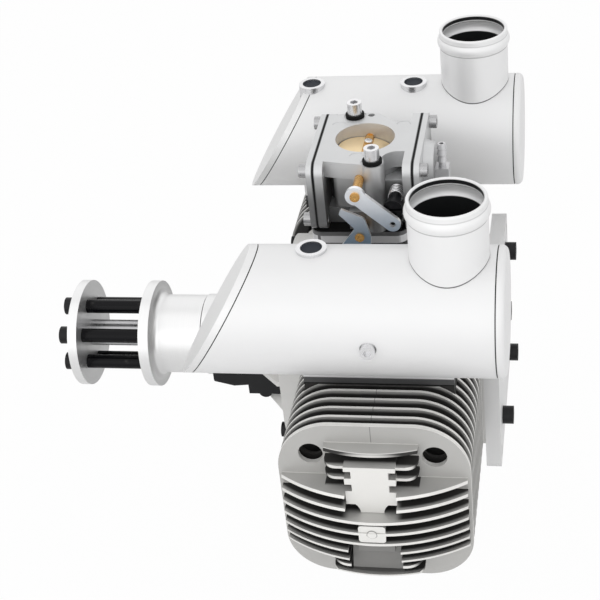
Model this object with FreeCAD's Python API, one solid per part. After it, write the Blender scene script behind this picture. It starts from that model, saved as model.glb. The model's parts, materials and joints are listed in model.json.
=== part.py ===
import FreeCAD, Part
import math
import os

# Flat twin two-stroke aircraft engine.
# Millimetres. +X runs forward to the propeller, +Y to the left cylinder, +Z up.
# The origin is on the crankshaft axis, in the rear face of the mount plate.

V = FreeCAD.Vector
UP = V(0, 0, 1)

# --- driving sizes ------------------------------------------------------------

# mount plate and its screws
plate_t = 8.0
plate_corner_r = 6.0
firewall_half = 44.0         # firewall bolts, from the crank axis
firewall_hole_r = 3.2
nut_room_r = 8.0             # scallop in the case behind each firewall bolt
nut_room_depth = 11.0
plate_screw_y = 29.0
plate_screw_zs = (39.0, -31.0)
plate_screw_depth = 16.0

# running gear
bore_r = 22.5
stroke = 41.0
rod_length = 75.0            # wrist pin to crankpin
stagger = 13.6               # each cylinder axis from the middle of the crankcase
rod_w = 12.0
rod_play = 0.5               # each side of a rod, between the webs
web_t = 12.0
web_r = 33.0
web_clear = 1.5              # outer webs to the case walls
crankpin_r = 7.0
pin_end_gap = 0.3            # each end of a crankpin, to its web
wrist_r = 6.0
wrist_half = 18.0
running = 0.05               # radial play of a shaft or piston in its bore
crown_h = 22.0               # wrist pin to piston crown
skirt_h = 20.0
piston_wall = 2.8
ring_t = 1.5
ring_depth = 2.0
ring_tops = (4.0, 8.5)       # crown to each ring
journal_r = 10.0
bearing_r = 21.0
bearing_w = 12.0
nose_bearing_r = 16.0
seal_r = 14.0
seal_w = 6.0

# crankcase
case_half = 52.0             # cylinder decks, from the crank axis
case_half_z = 49.5
case_corner_r = 30.0
deck_depth = 22.0            # flat pads that carry the cylinders
cavity_r = 44.5
rear_wall = 27.0             # behind the crank chamber
front_wall = 15.8
case_screw_inset = 12.5      # in from the sides of the case
case_screw_grip = 18.0
case_gasket_t = 0.4
neck_r = 30.0                # cone from the case to the nose
neck_len = 22.0
rib_n = 8
rib_t = 3.0
rib_r = 46.0
rib_nose_gap = 14.0
nose_r = 19.5
nose_end = 162.0
nose_ring_r = 23.2
nose_ring_w = 6.4

# propeller drive
hub_gap = 0.6                # nose ring to hub
hub_r = 22.6
hub_len = 28.0
hub_fillet = 4.0
flange_r = 30.6
flange_t = 5.8
prop_gap = 36.3              # hub flange to front washer
washer_t = 5.3
pilot_r = 7.5
prop_pcd_r = 18.5
prop_bolt_r = 3.0
prop_bolt_grip = 20.0        # thread in the hub
prop_bolts_n = 6
sleeve_r = 4.0
spring_washer_t = 1.6
magnet_r = 2.5
magnet_t = 4.0

# cylinders
gasket_t = 0.5
squish = 1.0
head_rise = 19.5             # top of the bore to the outer face of the head plate
head_plate_t = 2.6
barrel_wall = 5.5
spigot_wall = 3.0
spigot_len = 6.0
base_flange_t = 5.5
base_screw_depth = 10.0      # thread in the case
base_flange_half = 35.5
fin_pitch = 6.7
fin_t = 1.6
fin_half = 46.5
fin_top = 48.0
fin_bottom = -46.0
fin_top_r = 27.0
fin_bottom_r = 24.0
key_x = 29.8                 # cylinder base screws, from the cylinder axis
key_z = 30.7
key_hole_r = 6.0
chamber_r = 19.0
chamber_depth = 9.0
dome_r = 79.0                # envelope of the head fins
dome_rise = 20.0             # its crown beyond the head plate
dome_z = -4.0
head_fin_pitch = 6.6
head_fin_z = 17.6            # highest fin of full width
wide_fins = 7
upper_fins = 3               # shorter fins above them
lower_fins = 2               # and below them
head_fin_half = 45.0
short_fin_half = 22.5
upper_fin_rise = 9.6
upper_fin_r = 6.0
pad_half = 12.3
pad_rise = 12.3
pad_top = 33.1
pad_notch = 3.4
pad_notch_h = 4.2
pad_notch_levels = (0.42, 1.62)   # in fin pitches above the highest wide fin
lower_fin_rise = 14.0
lower_fin_r = 9.0
boss_low = -7.6              # square boss on the lower fins
boss_high = 2.7
boss_corner_r = 1.6
boss_mark_r = 2.3
boss_mark_rise = 0.4
lip_half = 9.0               # small step at the top of the plug notch
lip_rise = 10.0
lip_low = -22.4
lip_high = -17.7
plug_tilt = 24.0             # spark plug axis from straight down, outwards
plug_thread_r = 4.5
plug_pocket_r = 10.5
plug_reach = 12.5
plug_boss_half = 12.8
plug_boss_low = -37.0

# exhaust
port_y = 87.5                # exhaust port and its screws, from the crank axis
port_half_x = 12.0
port_half_y = 8.5
port_top = 46.0
port_boss_half_x = 37.0
port_boss_half_y = 15.5
exhaust_screw_x = 29.3       # each side of the port
can_y = 91.6
can_z = 82.3
can_r = 31.8
can_wall = 1.5
can_rear = -8.0
cap_len = 4.3                # rear cap, back from its seam
exhaust_thread = 8.0
slant_foot = 154.2           # front plate at the bottom of the can
slant = 0.62                 # rearward lean of the front plate for each mm of height
front_plate_t = 4.0
seam_w = 0.6
seam_depth = 0.5
outlet_x = 18.5
outlet_r = 18.8
outlet_wall = 1.8
outlet_top = 145.4
outlet_sink = 6.0            # inside the can
bead_r = 20.0
bead_half = 3.0
bead_down = 6.4
rim_r = 0.9
collar_r = 7.5
collar_hole_r = 5.3
collar_rise = 1.6
side_plug_x = 55.0
side_flat = 0.3

# intake and carburettor
reed_half_x = 20.0
reed_half_y = 15.0
reed_flange_t = 2.5
manifold_top = 75.0
insulator_top = 81.5
base_plate_top = 88.0
carb_gasket_t = 0.6
carb_top = 127.0
carb_front = 91.5
carb_rear = 42.0
carb_half = 31.0
deck_t = 9.0
deck_step_x = 56.8           # the deck narrows behind this, over the needles
deck_step_y = 15.0
vent_r = 1.75                # small drilled hole in the deck
vent_x = 68.3
vent_y = -24.6
wall_low = 100.5             # walls of the casting under the deck
wall_y = 26.0
wall_gap = 8.5               # front flange to the wall behind it
throat_r = 15.45
throttle_bore_r = 14.0
venturi_z = 105.0
choke_z = 118.5
choke_shaft_r = 2.5
choke_flat = 1.8             # height of the flat on the shaft, above its middle
choke_tilt = 8.0
choke_disc_r = 15.1
choke_cut = 11.5             # flat on the rear edge of the choke disc
choke_arm = 24.0
choke_arm_angle = 42.0       # below level, pointing to the rear
choke_lever_y = 43.8
throttle_z = 92.5
throttle_shaft_r = 2.5
throttle_disc_r = 13.7
throttle_tilt = 6.0
throttle_lever_y = 40.2
lever_t = 2.2
disc_t = 1.0
cover_t = 3.0
cover_gasket_t = 1.0
carb_screw_r = 2.5
carb_head_r = 3.9
carb_head_h = 6.5
carb_boss_r = 5.6
carb_washer_r = 5.0
carb_washer_t = 2.0
carb_screw_thread = 8.0      # in the manifold
spot_r = 5.8                 # flat seat sunk round each carburettor screw
spot_depth = 0.4
cover_screw_inset = 5.0
cover_screw_grip = 4.0
manifold_screw_x = 30.0      # each side of the intake's middle
manifold_screw_y = 22.0
manifold_screw_grip = 3.5
manifold_foot_t = 6.0
carb_screws_at = ((61.7, 26.0), (77.0, -24.0))
needles_at = ((50.7, 109.0), (50.7, 97.0))
needle_r = 3.2
needle_block_y = 22.0

# screws: shank and head radii and head heights
m6 = (3.0, 5.0, 6.0)
m5 = (2.5, 4.25, 5.0)
m4 = (2.0, 3.5, 4.0)
socket_share = 0.56          # socket corners, as a share of the head radius

# --- places that follow from the sizes ----------------------------------------

throw = stroke / 2
web_gap = rod_w + 2 * rod_play
rear_web = plate_t + rear_wall + web_clear
case_screw_y = case_half - case_screw_inset
case_screw_z = case_half_z - case_screw_inset
left_x = rear_web + web_t + web_gap / 2
centre_x = left_x + stagger
right_x = centre_x + stagger
front_web = right_x + web_gap / 2
cavity_rear = plate_t + rear_wall
cavity_front = front_web + web_t + web_clear
case_front = cavity_front + front_wall
neck_front = case_front + neck_len
hub_rear = nose_end + nose_ring_w + hub_gap
flange_rear = hub_rear + hub_len
flange_front = flange_rear + flange_t
washer_rear = flange_front + prop_gap
washer_front = washer_rear + washer_t
pin_y = throw + rod_length
crown_y = pin_y + crown_h
bore_top = crown_y + squish
head_face = bore_top + head_rise
base_y = case_half + gasket_t
barrel_r = bore_r + barrel_wall
spigot_r = bore_r + spigot_wall
flange_low = port_top + gasket_t
carb_floor = base_plate_top + carb_gasket_t
carb_seat = carb_top - spot_depth


# --- plain shapes ---------------------------------------------------------------

def block(x, y, z):
    return Part.makeBox(x[1] - x[0], y[1] - y[0], z[1] - z[0], V(x[0], y[0], z[0]))


def rod(radius, start, end):
    axis = V(*end) - V(*start)
    return Part.makeCylinder(radius, axis.Length, V(*start), axis)


def ring(outer, inner, start, end):
    return rod(outer, start, end).cut(rod(inner, start, end))


def cone(start_r, end_r, start, end):
    axis = V(*end) - V(*start)
    return Part.makeCone(start_r, end_r, axis.Length, V(*start), axis)


def along_x(radius, x, y=0.0, z=0.0):
    return rod(radius, (x[0], y, z), (x[1], y, z))


def joined(shapes):
    first, *others = shapes
    return first.multiFuse(others).removeSplitter() if others else first


def rounded(corners, place):
    """A flat face through (u, v, radius) corners; place turns u, v into a point."""
    entries, middles, exits = [], [], []
    for i, (u, v, radius) in enumerate(corners):
        here = V(u, v, 0)
        before = V(corners[i - 1][0], corners[i - 1][1], 0) - here
        after = V(corners[(i + 1) % len(corners)][0], corners[(i + 1) % len(corners)][1], 0) - here
        before.normalize()
        after.normalize()
        half = before.getAngle(after) / 2
        inward = before + after
        inward.normalize()
        reach = radius / math.tan(half)
        entries.append(here + before * reach)
        middles.append(here + inward * (radius / math.sin(half) - radius))
        exits.append(here + after * reach)
    edges = []
    for i, (u, v, radius) in enumerate(corners):
        a, b = exits[i - 1], entries[i]
        if (b - a).Length > 1e-4:
            edges.append(Part.LineSegment(place(a.x, a.y), place(b.x, b.y)).toShape())
        if radius > 0:
            points = [place(p.x, p.y) for p in (entries[i], middles[i], exits[i])]
            edges.append(Part.Arc(*points).toShape())
    return Part.Face(Part.Wire(edges))


def prism_x(corners, x):
    return rounded(corners, lambda u, v: V(x[0], u, v)).extrude(V(x[1] - x[0], 0, 0))


def prism_y(corners, y):
    return rounded(corners, lambda u, v: V(u, y[0], v)).extrude(V(0, y[1] - y[0], 0))


def prism_z(corners, z):
    return rounded(corners, lambda u, v: V(u, v, z[0])).extrude(V(0, 0, z[1] - z[0]))


def rectangle(u, v, radius):
    return [(u[0], v[0], radius), (u[1], v[0], radius), (u[1], v[1], radius), (u[0], v[1], radius)]


def hexagon(corner_r, start, way, depth):
    """A six-sided bar from start along way."""
    side = way.cross(UP if abs(way.z) < 0.9 else V(1, 0, 0))
    side.normalize()
    spin = FreeCAD.Rotation(way, 60)
    points = [start + side * corner_r]
    for _ in range(6):
        side = spin.multVec(side)
        points.append(start + side * corner_r)
    return Part.Face(Part.makePolygon(points)).extrude(way * depth)


def screw(size, seat, direction, length):
    """Socket screw: the shank runs from its seat along direction, the head the other way."""
    shank_r, head_r, head_h = size
    seat = V(*seat)
    way = V(*direction)
    way.normalize()
    head = Part.makeCylinder(head_r, head_h, seat - way * head_h, way)
    socket = hexagon(head_r * socket_share, seat - way * head_h, way, head_h / 2)
    shank = Part.makeCylinder(shank_r, length, seat, way)
    return head.fuse(shank).cut(socket)


def on_right(shape):
    """The right-hand copy of a left-hand piece: half a turn about the crankcase's middle."""
    turned = shape.copy()
    turned.rotate(V(centre_x, 0, 0), UP, 180)
    return turned


def across(shape):
    """The right-hand copy of a piece that is mirrored side to side."""
    return shape.mirror(V(0, 0, 0), V(0, 1, 0))


def four(half_a, half_b):
    return [(a * half_a, b * half_b) for a in (-1, 1) for b in (-1, 1)]


# --- mount plate ----------------------------------------------------------------

def plate_screw_places():
    return [(side * plate_screw_y, z) for side in (-1, 1) for z in plate_screw_zs]


def mount_plate():
    side = (-case_half, case_half)
    plate = prism_x(rectangle(side, side, plate_corner_r), (0, plate_t))
    cuts = []
    for y, z in four(firewall_half, firewall_half):
        cuts.append(along_x(firewall_hole_r, (-1, plate_t + 1), y, z))
    for y, z in plate_screw_places():
        cuts.append(along_x(m6[0], (-1, plate_t + 1), y, z))
    return plate.cut(cuts)


def plate_screws():
    reach = plate_t + plate_screw_depth
    return [screw(m6, (0, y, z), (1, 0, 0), reach) for y, z in plate_screw_places()]


# --- crankcase ------------------------------------------------------------------

def case_section(x):
    """The case between two X positions, with a flat pad for each cylinder."""
    whole = [prism_x(rectangle((-case_half, case_half), (-case_half_z, case_half_z), case_corner_r), x)]
    for axis_x, side in ((left_x, 1), (right_x, -1)):
        low = max(x[0], axis_x - base_flange_half)
        high = min(x[1], axis_x + base_flange_half)
        y = sorted((side * (case_half - deck_depth), side * case_half))
        whole.append(block((low, high), y, (-base_flange_half, base_flange_half)))
    return joined(whole)


def deck_bores():
    """Holes for the two cylinder spigots and their screws."""
    cuts = []
    for x, side in ((left_x, 1), (right_x, -1)):
        cuts.append(rod(spigot_r, (x, 0, 0), (x, side * (case_half + 1), 0)))
        for dx, z in four(key_x, key_z):
            deep = case_half - base_screw_depth - 1
            cuts.append(rod(m5[0], (x + dx, side * deep, z), (x + dx, side * (case_half + 1), z)))
    return cuts


def intake_hole():
    x = (centre_x - reed_half_x, centre_x + reed_half_x)
    return block(x, (-reed_half_y, reed_half_y), (0, case_half_z + 1))


def case_screw_places():
    return four(case_screw_y, case_screw_z)


def case_screw_holes(x):
    return [along_x(m5[0], x, y, z) for y, z in case_screw_places()]


def crankcase_rear():
    x = (plate_t, centre_x - case_gasket_t / 2)
    cuts = [along_x(cavity_r, (cavity_rear, x[1] + 1))]
    cuts.append(along_x(bearing_r, (cavity_rear - bearing_w, cavity_rear + 1)))
    cuts.append(along_x(journal_r + 1, (cavity_rear - bearing_w - 3, cavity_rear)))
    for y, z in plate_screw_places():
        cuts.append(along_x(m6[0], (plate_t - 1, plate_t + plate_screw_depth), y, z))
    for y, z in four(firewall_half, firewall_half):
        cuts.append(along_x(nut_room_r, (plate_t - 1, plate_t + nut_room_depth), y, z))
    cuts += deck_bores() + [intake_hole()] + manifold_screw_holes()
    cuts += case_screw_holes((centre_x - case_screw_grip, centre_x))
    return case_section(x).cut(cuts)


def neck():
    return cone(neck_r, nose_r, (case_front - 1, 0, 0), (neck_front, 0, 0))


def crankcase_front():
    x = (centre_x + case_gasket_t / 2, case_front)
    pieces = [case_section(x), neck(), along_x(nose_r, (case_front, nose_end))]
    rib_front = nose_end - rib_nose_gap
    for turn in range(rib_n):
        outline = [(x[1] - 1, nose_r - 2, 0), (x[1] - 1, rib_r, 0), (x[1] + 3, rib_r, 0), (rib_front, nose_r - 2, 0)]
        rib = prism_y(outline, (-rib_t / 2, rib_t / 2))
        rib.rotate(V(0, 0, 0), V(1, 0, 0), 360 / rib_n * turn)
        pieces.append(rib)
    cuts = [along_x(cavity_r, (x[0] - 1, cavity_front))]
    cuts.append(along_x(bearing_r, (cavity_front - 1, cavity_front + bearing_w)))
    cuts.append(along_x(seal_r, (cavity_front, cavity_front + bearing_w + seal_w)))
    cuts.append(along_x(journal_r + 1, (cavity_front, nose_end + 1)))
    cuts.append(along_x(nose_bearing_r, (nose_end - bearing_w, nose_end + 1)))
    cuts += deck_bores() + [intake_hole()] + manifold_screw_holes()
    cuts += case_screw_holes((centre_x, case_front + 1))
    return joined(pieces).cut(cuts)


def case_gasket():
    x = (centre_x - case_gasket_t / 2, centre_x + case_gasket_t / 2)
    cuts = [along_x(cavity_r, (x[0] - 1, x[1] + 1))]
    cuts += deck_bores() + [intake_hole()] + case_screw_holes((x[0] - 1, x[1] + 1))
    return case_section(x).cut(cuts)


def case_screws():
    length = case_front - centre_x + case_screw_grip
    return [screw(m5, (case_front, y, z), (-1, 0, 0), length) for y, z in case_screw_places()]


def nose_ring():
    x = (nose_end, nose_end + nose_ring_w)
    return along_x(nose_ring_r, x).cut(along_x(journal_r + 1, (x[0] - 1, x[1] + 1)))


def bearings():
    places = (cavity_rear - bearing_w, cavity_front)
    made = [ring(bearing_r, journal_r + running, (x, 0, 0), (x + bearing_w, 0, 0)) for x in places]
    x = nose_end - bearing_w
    made.append(ring(nose_bearing_r, journal_r + running, (x, 0, 0), (nose_end, 0, 0)))
    return made


def shaft_seal():
    x = cavity_front + bearing_w
    return ring(seal_r, journal_r + running, (x, 0, 0), (x + seal_w, 0, 0))


# --- crankshaft and propeller drive -----------------------------------------------

def web(x, toward):
    """A crank web with its pin side towards +1 or -1 along Y and a heavy side opposite."""
    disc = along_x(web_r, x)
    eye = throw + crankpin_r
    flat = toward * (throw + crankpin_r + 3)
    for z in (-1, 1):
        side = block(x, sorted((toward * 4, flat + toward * web_r)), sorted((z * (eye * 0.62), z * web_r * 1.1)))
        disc = disc.cut(side)
    return disc


def crank_front():
    front = web((front_web, front_web + web_t), -1)
    journal = along_x(journal_r, (front_web + web_t - 1, hub_rear + hub_len * 0.6))
    pilot = along_x(pilot_r, (hub_rear, washer_front))
    return joined([front, journal, pilot])


def crank_middle():
    return along_x(web_r, (left_x + web_gap / 2, right_x - web_gap / 2))


def crank_rear():
    rear = web((rear_web, rear_web + web_t), 1)
    return joined([rear, along_x(journal_r, (cavity_rear - bearing_w - 1, rear_web + 1))])


def bolt_places():
    turns = [math.radians(90 + 360 / prop_bolts_n * i) for i in range(prop_bolts_n)]
    return [(prop_pcd_r * math.cos(a), prop_pcd_r * math.sin(a)) for a in turns]


def hub():
    body = along_x(hub_r, (hub_rear, flange_rear + 1))
    flange = along_x(flange_r, (flange_rear, flange_front))
    whole = joined([body, flange])
    root = [e for e in whole.Edges if near_circle(e, flange_rear, hub_r)]
    whole = whole.makeFillet(hub_fillet, root)
    cuts = [along_x(journal_r, (hub_rear - 1, hub_rear + hub_len * 0.6))]
    cuts.append(along_x(pilot_r, (hub_rear, flange_front + 1)))
    for y, z in bolt_places():
        cuts.append(along_x(prop_bolt_r, (flange_front - prop_bolt_grip, flange_front + 1), y, z))
    cuts.append(rod(magnet_r, *magnet_line()))
    return whole.cut(cuts)


def near_circle(edge, x, radius):
    box = edge.BoundBox
    flat = abs(box.XMin - x) < 1e-3 and abs(box.XMax - x) < 1e-3
    return flat and abs(box.YLength - 2 * radius) < 1e-3


def magnet_line():
    x = hub_rear + magnet_r + 2
    turn = math.radians(200)
    inner = hub_r - magnet_t
    ends = [(x, r * math.cos(turn), r * math.sin(turn)) for r in (inner, hub_r + 1)]
    return ends


def magnet():
    start, end = magnet_line()
    axis = V(*end) - V(*start)
    axis.normalize()
    return Part.makeCylinder(magnet_r, magnet_t - 0.4, V(*start), axis)


def front_washer():
    x = (washer_rear - 1, washer_front + 1)
    cuts = [along_x(pilot_r, x)] + [along_x(prop_bolt_r, x, y, z) for y, z in bolt_places()]
    return along_x(flange_r, (washer_rear, washer_front)).cut(cuts)


def prop_bolts():
    """Socket screws, each with its captive spring washer."""
    seat = washer_front + spring_washer_t
    length = seat - flange_front + prop_bolt_grip
    washer_r = m6[1] - 0.3
    made = []
    for y, z in bolt_places():
        bolt = screw(m6, (seat, y, z), (-1, 0, 0), length)
        made.append(bolt.fuse(ring(washer_r, prop_bolt_r, (washer_front, y, z), (seat, y, z))))
    return made


def sleeves():
    x = (flange_front, washer_rear)
    return [ring(sleeve_r, prop_bolt_r, (x[0], y, z), (x[1], y, z)) for y, z in bolt_places()]


# --- pistons and rods (left; the right-hand ones are turned copies) ---------------

def piston():
    outer = bore_r - running
    body = rod(outer, (left_x, pin_y - skirt_h, 0), (left_x, crown_y, 0))
    inner = outer - piston_wall
    hollow = rod(inner, (left_x, pin_y - skirt_h - 1, 0), (left_x, crown_y - 5, 0))
    gap = rod_w / 2 + 1
    bosses = []
    for side in (-1, 1):
        start, end = sorted((left_x + side * gap, left_x + side * (inner + 1)))
        bosses.append(along_x(wrist_r + 3, (start, end), pin_y))
    body = body.cut(hollow.cut(bosses))
    cuts = [along_x(wrist_r, (left_x - bore_r, left_x + bore_r), pin_y)]
    for top in ring_tops:
        y = crown_y - top
        cuts.append(ring(outer + 1, outer - ring_depth, (left_x, y - ring_t, 0), (left_x, y, 0)))
    return body.cut(cuts)


def piston_rings():
    outer = bore_r - running
    made = []
    for top in ring_tops:
        y = crown_y - top
        hoop = ring(outer, outer - ring_depth, (left_x, y - ring_t, 0), (left_x, y, 0))
        split = block((left_x - 0.4, left_x + 0.4), (y - ring_t, y), (0, bore_r))
        made.append(hoop.cut(split))
    return made


def wrist_pin():
    return ring(wrist_r, wrist_r * 0.55, (left_x - wrist_half, pin_y, 0), (left_x + wrist_half, pin_y, 0))


def connecting_rod():
    x = (left_x - rod_w / 2, left_x + rod_w / 2)
    small_r = wrist_r + running + 3
    big_r = crankpin_r + 5
    eyes = [along_x(small_r, x, pin_y), along_x(big_r, x, throw)]
    shank_t = rod_w * 0.6
    shank = [(throw, -5.5, 0), (pin_y, -4.5, 0), (pin_y, 4.5, 0), (throw, 5.5, 0)]
    beam = prism_x(shank, (left_x - shank_t / 2, left_x + shank_t / 2))
    channel = [(throw + big_r + 2, -3, 1), (pin_y - small_r - 2, -2.5, 1),
               (pin_y - small_r - 2, 2.5, 1), (throw + big_r + 2, 3, 1)]
    for side in (-1, 1):
        low, high = sorted((left_x + side * shank_t / 4, left_x + side * shank_t))
        beam = beam.cut(prism_x(channel, (low, high)))
    body = joined(eyes + [beam])
    return body.cut([along_x(wrist_r + running, (x[0] - 1, x[1] + 1), pin_y),
                     along_x(crankpin_r, (x[0] - 1, x[1] + 1), throw)])


def crankpin():
    half = web_gap / 2 - pin_end_gap
    return along_x(crankpin_r, (left_x - half, left_x + half), throw)


# --- cylinder (left) --------------------------------------------------------------

def fin_outline():
    corners = [(-fin_half, fin_bottom, fin_bottom_r), (fin_half, fin_bottom, fin_bottom_r),
               (fin_half, fin_top, fin_top_r), (-fin_half, fin_top, fin_top_r)]
    return [(left_x + u, v, r) for u, v, r in corners]


def dome():
    """Everything inside the rounded envelope of the head."""
    centre = V(left_x, head_face + dome_rise - dome_r, dome_z)
    return Part.makeSphere(dome_r, centre)


def plug_axis():
    turn = math.radians(plug_tilt)
    way = V(0, math.sin(turn), -math.cos(turn))
    start = V(left_x, bore_top + chamber_depth * 0.5, -chamber_r * 0.62)
    return start, way


def head_fins():
    """Level fins on the head: short rounded ones above, full-width ones, narrow ones below."""
    outer = head_face + dome_rise + 1
    fins = []
    for i in range(-upper_fins, wide_fins + lower_fins):
        z = head_fin_z - i * head_fin_pitch
        if i < 0:
            half, front, corner = short_fin_half, head_face + upper_fin_rise, upper_fin_r
        elif i < wide_fins:
            half, front, corner = head_fin_half, outer, 0
        else:
            half, front, corner = short_fin_half, head_face + lower_fin_rise, lower_fin_r
        x = (left_x - half, left_x + half)
        outline = [(x[0], head_face - 1, 0), (x[1], head_face - 1, 0), (x[1], front, corner), (x[0], front, corner)]
        fins.append(prism_z(outline, (z - fin_t / 2, z + fin_t / 2)))
    return fins


def head_pad():
    """The flat machined pad between the upper fins, with notches down its sides."""
    y = (head_face - 1, head_face + pad_rise)
    low = head_fin_z - 2 * head_fin_pitch + fin_t / 2
    high = pad_top
    foot = pad_half * 0.46
    shoulder = low + 7.0
    outline = [(-foot, low, 0), (foot, low, 0), (pad_half, shoulder, 0), (pad_half, high, 0),
               (-pad_half, high, 0), (-pad_half, shoulder, 0)]
    pad = prism_y([(left_x + u, v, r) for u, v, r in outline], y)
    scoop = pad_half - foot
    cuts = []
    for side in (-1, 1):
        centre = left_x + side * pad_half
        cuts.append(rod(scoop, (centre, y[0] + 2, low), (centre, y[1] + 1, low)))
        for level in pad_notch_levels:
            z = head_fin_z + level * head_fin_pitch
            x = sorted((centre - side * pad_notch, centre + side))
            cuts.append(block(x, (y[0] + 2, y[1] + 1), (z - pad_notch_h / 2, z + pad_notch_h / 2)))
    return pad.cut(cuts)


def pad_front():
    """The space in front of the pad, where the fins that cross it are milled away."""
    low = head_fin_z - 2 * head_fin_pitch + fin_t / 2
    return block((left_x - pad_half, left_x + pad_half), (head_face + pad_rise, head_face + dome_rise + 1),
                 (low, head_fin_z + 3 * head_fin_pitch))


def head_boss():
    """A small square boss with a round mark, flush with the edges of the fins."""
    half = pad_half * 0.53
    front = head_face + dome_rise - 0.6
    corners = [(left_x - half, boss_low, boss_corner_r), (left_x + half, boss_low, boss_corner_r),
               (left_x + half, boss_high, boss_corner_r), (left_x - half, boss_high, boss_corner_r)]
    middle = (boss_low + boss_high) / 2
    mark = rod(boss_mark_r, (left_x, front - 1, middle), (left_x, front + boss_mark_rise, middle))
    return prism_y(corners, (head_face - 1, front)).fuse(mark)


def notch_lip():
    return block((left_x - lip_half, left_x + lip_half), (head_face - 1, head_face + lip_rise), (lip_low, lip_high))


def plug_boss():
    """A block round the spark plug's axis; its outer face is the sloping floor of the notch."""
    start, way = plug_axis()
    outward = V(0, -way.z, way.y)
    half = plug_boss_half
    base = start + way * 3
    face = Part.Face(Part.makePolygon([
        base + V(-half, 0, 0) - outward * half, base + V(half, 0, 0) - outward * half,
        base + V(half, 0, 0) + outward * half, base + V(-half, 0, 0) + outward * half,
        base + V(-half, 0, 0) - outward * half]))
    whole = face.extrude(way * 60)
    keep = block((left_x - half, left_x + half), (bore_top, head_face + dome_rise), (plug_boss_low, 0))
    return whole.common(keep)


def plug_cuts():
    start, way = plug_axis()
    thread_end = plug_reach + 4
    thread = Part.makeCylinder(plug_thread_r, thread_end + 6, start - way * 6, way)
    pocket = Part.makeCylinder(plug_pocket_r, 60, start + way * thread_end, way)
    return [thread, pocket]


def notch():
    """The gap that is cut in the lower head fins over the spark plug boss."""
    x = (left_x - plug_boss_half, left_x + plug_boss_half)
    top = head_fin_z - 4 * head_fin_pitch - fin_t / 2
    low = head_fin_z - (wide_fins + lower_fins - 1) * head_fin_pitch + fin_t / 2
    return block(x, (head_face, head_face + dome_rise + 2), (low, top))


def cylinder():
    """Barrel, fins and head in one casting, as on the real engine."""
    flange = rectangle((left_x - base_flange_half, left_x + base_flange_half),
                       (-base_flange_half, base_flange_half), 6)
    flange_top = base_y + base_flange_t
    pieces = [rod(barrel_r, (left_x, base_y, 0), (left_x, head_face - 1, 0))]
    pieces.append(prism_y(flange, (base_y, flange_top)))
    pieces.append(rod(spigot_r, (left_x, base_y - spigot_len, 0), (left_x, base_y + 1, 0)))
    y = head_face - fin_pitch
    while y - fin_t > flange_top + 2:
        pieces.append(prism_y(fin_outline(), (y - fin_t, y)))
        y -= fin_pitch
    pieces.append(prism_y(fin_outline(), (head_face - head_plate_t, head_face)))
    casting = joined(pieces)
    lands = (port_boss_half_x, port_boss_half_y)
    pocket = block((left_x - lands[0] - 2, left_x + lands[0] + 2), (port_y - lands[1] - 2, port_y + lands[1] + 2),
                   (port_top, fin_top + 1))
    boss = block((left_x - lands[0], left_x + lands[0]), (port_y - lands[1], port_y + lands[1]),
                 (0, port_top))
    fins = joined(head_fins()).cut([pad_front(), notch()])
    head = joined([fins, head_boss(), notch_lip(), plug_boss()]).common(dome())
    casting = joined([casting.cut(pocket), boss, head, head_pad()])
    roof = Part.makeSphere(dome_radius(), V(left_x, bore_top + chamber_depth - dome_radius(), 0))
    roof = roof.common(block((left_x - bore_r, left_x + bore_r), (bore_top - 1, head_face), (-bore_r, bore_r)))
    cuts = [rod(bore_r, (left_x, base_y - spigot_len - 1, 0), (left_x, bore_top, 0)), roof]
    cuts.append(block((left_x - port_half_x, left_x + port_half_x),
                      (port_y - port_half_y, port_y + port_half_y), (0, port_top + 1)))
    for side in (-1, 1):
        x = left_x + side * exhaust_screw_x
        cuts.append(rod(m5[0], (x, port_y, port_top - exhaust_thread - 0.5), (x, port_y, port_top + 1)))
        key = left_x + side * key_x
        cuts.append(rod(key_hole_r, (key, flange_top, key_z), (key, head_face + dome_rise, key_z)))
        slot = block((key - key_hole_r, key + key_hole_r), (flange_top, head_face - head_plate_t), (fin_bottom - 1, -key_z))
        cuts.append(slot.fuse(rod(key_hole_r, (key, flange_top, -key_z), (key, head_face - head_plate_t, -key_z))))
        for z in (-key_z, key_z):
            cuts.append(rod(m5[0], (key, base_y - 1, z), (key, flange_top + 1, z)))
    return casting.cut(cuts).cut(plug_cuts())


def dome_radius():
    return (chamber_r ** 2 + chamber_depth ** 2) / (2 * chamber_depth)


def base_gasket():
    flange = rectangle((left_x - base_flange_half, left_x + base_flange_half),
                       (-base_flange_half, base_flange_half), 6)
    cuts = [rod(spigot_r, (left_x, 0, 0), (left_x, base_y + 1, 0))]
    for dx, z in four(key_x, key_z):
        cuts.append(rod(m5[0], (left_x + dx, 0, z), (left_x + dx, base_y + 1, z)))
    return prism_y(flange, (case_half, base_y)).cut(cuts)


def base_screws():
    seat = base_y + base_flange_t
    places = four(key_x, key_z)
    length = base_flange_t + gasket_t + base_screw_depth
    return [screw(m5, (left_x + dx, seat, z), (0, -1, 0), length) for dx, z in places]


# --- exhaust (left; each side has its own cylinder axis) ---------------------------

def slanted_half(setback):
    """The space behind the can's sloping front plate, less a setback along X."""
    low, high = can_z - can_r - 5, can_z + can_r + 40
    foot = slant_foot - setback - slant * (low - (can_z - can_r))
    head = slant_foot - setback - slant * (high - (can_z - can_r))
    corners = [(can_rear - 5, low, 0), (foot, low, 0), (head, high, 0), (can_rear - 5, high, 0)]
    return prism_y(corners, (can_y - can_r - 5, can_y + can_r + 5))


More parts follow.
